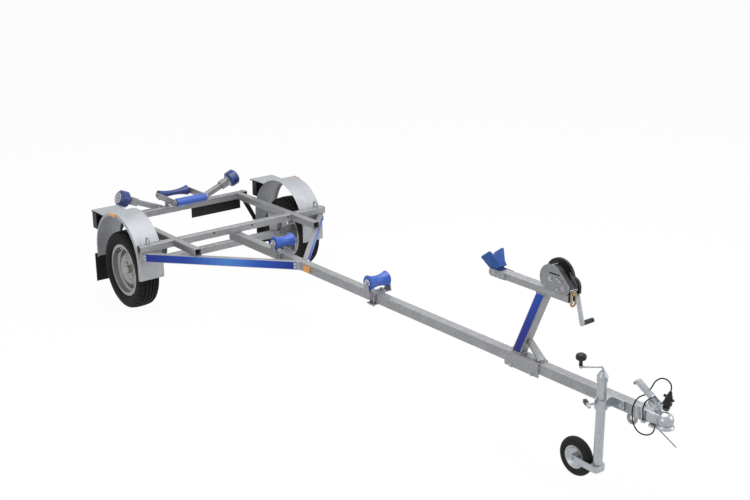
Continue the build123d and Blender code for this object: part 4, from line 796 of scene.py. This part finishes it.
gripEnd = {"place": (3711, -146, 449), "size": (36, 19, 21), "turn": -30.2, "inset": 3, "nose": (-4, 2.3, 0),
           "edge": 2.5, "segments": 3}
grip = plateBox(gripEnd["size"], at(*gripEnd["place"]), (0, 0, math.radians(gripEnd["turn"])))
pushFaces(grip, lambda face: face.normal.x < -0.5, gripEnd["nose"], gripEnd["inset"])
finishPiece(beveled(grip, gripEnd["edge"], gripEnd["segments"]), "clamp_handle_grip", "frame", "black_plastic")
rimDish = {
    "steps": 40,
    "profile": ((20, 5), (30, 6), (41, 6.5), (46, 9), (53, 18), (57, 20.5), (60, 21), (60, 19.5), (57, 19), (53, 16),
                (46, 7), (41, 4.6), (30, 4.4), (20, 4.4)),
}
axleMiddle = at(jockeyAxle["ahead"], jockeyAxle["across"], jockeyAxle["up"])
dishes = [spunShape(rimDish["profile"], rimDish["steps"], turnTo(axleMiddle, (0, side, 0))) for side in (-1, 1)]
# The small wheel's pressed halves have the bright zinc's look
finishPiece(joinPieces(dishes), "jockey_rim_halves", "jockey_wheel", "rim_silver", finishes["zinc"])


print("coupling details")
flange = {
    "place": (4080, 0, 408), "steps": 48,
    "profile": ((33, 0), (45, 0), (46.5, 2), (46.5, 8), (44, 11), (40, 20), (33, 20)),
}
flangePiece = spunShape(flange["profile"], flange["steps"], Matrix.Translation(at(*flange["place"])))
finishPiece(flangePiece, "coupling_flange", "frame", "zinc")
latch = {"place": (4004, -18, 508), "size": (30, 5, 16), "turn": 35, "inset": 2, "nose": (-3, 0, 5), "edge": 1}
latchPiece = plateBox(latch["size"], at(*latch["place"]), (0, math.radians(latch["turn"]), 0))
pushFaces(latchPiece, lambda face: face.normal.z > 0.5, latch["nose"], latch["inset"])
finishPiece(beveled(latchPiece, latch["edge"]), "coupling_latch", "frame", "zinc")
plugRing = {
    "along": 88,  # past the cable's end
    "steps": 32,
    "profile": ((17.6, 0), (19.4, 0), (19.8, 1.2), (19.4, 2.6), (17.6, 2.6)),
}
cableEnd = at(*cable["points"][-1])
plugRun = (cableEnd - at(*cable["points"][-2])).normalized()
plugPlace = turnTo(cableEnd + plugRun * plugRing["along"] * mm, plugRun)
finishPiece(spunShape(plugRing["profile"], plugRing["steps"], plugPlace), "plug_ring", "frame", "zinc")


print("plugs in the beam, weld beads")
beamPlug = {
    "spots": ((316, 120, 506), (316, 430, 507), (316, -193, 508), (316, -455, 506)), "steps": 16,
    "profile": ((0, 1.6), (5, 1.6), (7, 0.8), (7.4, 0), (0, 0)),
}
plugs = [spunShape(beamPlug["profile"], beamPlug["steps"], turnTo(at(*spot), (1, 0, 0)))
         for spot in beamPlug["spots"]]
finishPiece(joinPieces(plugs), "beam_hole_plugs", "frame", "black_plastic")
weld = {
    "radius": 3, "cuts": 12, "roundness": 1,
    "ripple": (0.8, 1.0),  # shares of the radius, turn about from point to point
    "lines": (
        ((3072, -30, 481), (3136, -30, 481), (3136, 30, 481), (3072, 30, 481), (3072, -30, 481)),
        ((3238, -30, 864), (3302, -30, 864), (3302, 30, 864), (3238, 30, 864), (3238, -30, 864)),
        ((3238, -4, 481), (3272, -4, 481), (3272, 4, 481), (3238, 4, 481)),
        ((1118, -30, 416), (1118, -30, 472)), ((1118, 30, 416), (1118, 30, 472)),
        ((266, -30, 474), (316, -30, 474)), ((266, 30, 474), (316, 30, 474)),
        ((-421, -459, 476), (-421, -459, 522)), ((-421, 459, 476), (-421, 459, 522)),
        ((-421, -509, 476), (-421, -509, 522)), ((-421, 509, 476), (-421, 509, 522)),
    ),
}
beads = []
for line in weld["lines"]:
    drawnLine([at(*place) for place in line])
    bpy.ops.mesh.subdivide(number_cuts=weld["cuts"])
    bpy.ops.object.mode_set(mode="OBJECT")
    bpy.ops.object.convert(target="CURVE")
    bead = bpy.context.object.data
    bead.bevel_depth = weld["radius"] * mm
    bead.bevel_resolution = weld["roundness"]
    bead.use_fill_caps = True
    for spline in bead.splines:
        for index, point in enumerate(spline.points):
            point.radius = weld["ripple"][index % 2]
    bpy.ops.object.convert(target="MESH")
    beads.append(bpy.context.object)
finishPiece(joinPieces(beads), "weld_beads", "frame", "galvanised")


print("studio")
studio = {
    "floorSize": 90.0,
    "floorColour": "#f2f2f2",
    "floorGlow": 0.96,
    "worldLight": 0.36,
    "cameraAt": (5.57681, -4.33135, 3.02729),
    "yaw": 38.45, "pitch": 18.19, "roll": -0.35,
    "focalPixels": 1215.97, "frameWidth": 750, "sensor": 36.0,
    "lampAim": (0, 0, 0.4),
    "lamps": (
        # name, place, size, watts
        ("overhead", (0.3, 0.6, 5.5), 6.0, 330),
        ("frontLeft", (5.5, 4.5, 3.0), 3.5, 80),
        ("nearSide", (2.0, -6.5, 2.6), 4.0, 70),
    ),
}
startPiece()
bpy.ops.mesh.primitive_plane_add(size=studio["floorSize"], location=(0, 0, 0))
floor = bpy.context.object
floor.name = "studioFloor"


# 1 for the rays that show the white surround: straight to the camera, in a reflection or through glass
def whiteSeen(tree):
    ray = addNode(tree, "ShaderNodeLightPath")
    seen = addNode(tree, "ShaderNodeMath", {"operation": "MAXIMUM"})
    tree.links.new(ray.outputs["Is Camera Ray"], seen.inputs[0])
    tree.links.new(ray.outputs["Is Glossy Ray"], seen.inputs[1])
    through = addNode(tree, "ShaderNodeMath", {"operation": "MAXIMUM"})
    tree.links.new(seen.outputs[0], through.inputs[0])
    tree.links.new(ray.outputs["Is Transmission Ray"], through.inputs[1])
    return through.outputs[0]


# The floor shows white and keeps a faint shadow
floorLook, floorTree, floorShader = newMaterial("whiteFloor", Roughness=0.9, Base_Color=linear(studio["floorColour"]))
glowShare = addNode(floorTree, "ShaderNodeMath", {"operation": "MULTIPLY"})
floorTree.links.new(whiteSeen(floorTree), glowShare.inputs[0])
glowShare.inputs[1].default_value = studio["floorGlow"]
glow = addNode(floorTree, "ShaderNodeEmission", {"Color": (1, 1, 1, 1), "Strength": 1.0})
blend = addNode(floorTree, "ShaderNodeMixShader")
for socket, source in enumerate((glowShare, floorShader, glow)):
    floorTree.links.new(source.outputs[0], blend.inputs[socket])
floorTree.links.new(blend.outputs[0], floorTree.nodes["Material Output"].inputs["Surface"])
floor.data.materials.append(floorLook)

world = bpy.data.worlds.new("studioWorld")
bpy.context.scene.world = world
world.use_nodes = True
worldTree = world.node_tree
sky = worldTree.nodes["Background"]
sky.inputs["Color"].default_value = (1, 1, 1, 1)
connect(worldTree, sky, Strength=spread(worldTree, whiteSeen(worldTree), To_Min=studio["worldLight"], To_Max=1.0))

for name, place, size, watts in studio["lamps"]:
    lamp = bpy.data.lights.new(name, "AREA")
    lamp.shape = "DISK"
    lamp.size = size
    lamp.energy = watts
    lampObject = bpy.data.objects.new(name, lamp)
    lampObject.location = place
    lampObject.rotation_euler = (Vector(studio["lampAim"]) - Vector(place)).to_track_quat("-Z", "Y").to_euler()
    bpy.context.collection.objects.link(lampObject)

view = bpy.data.cameras.new("photoView")
view.sensor_width = studio["sensor"]
view.lens = studio["focalPixels"] / studio["frameWidth"] * studio["sensor"]
viewer = bpy.data.objects.new("photoView", view)
viewer.location = studio["cameraAt"]
yaw, pitch = math.radians(studio["yaw"]), math.radians(studio["pitch"])
look = Vector((-math.cos(yaw) * math.cos(pitch), math.sin(yaw) * math.cos(pitch), -math.sin(pitch)))
viewer.rotation_mode = "QUATERNION"
viewer.rotation_quaternion = look.to_track_quat("-Z", "Y") @ Quaternion((0, 0, 1), math.radians(studio["roll"]))
bpy.context.collection.objects.link(viewer)
bpy.context.scene.camera = viewer
bpy.context.scene.view_settings.view_transform = "Standard"
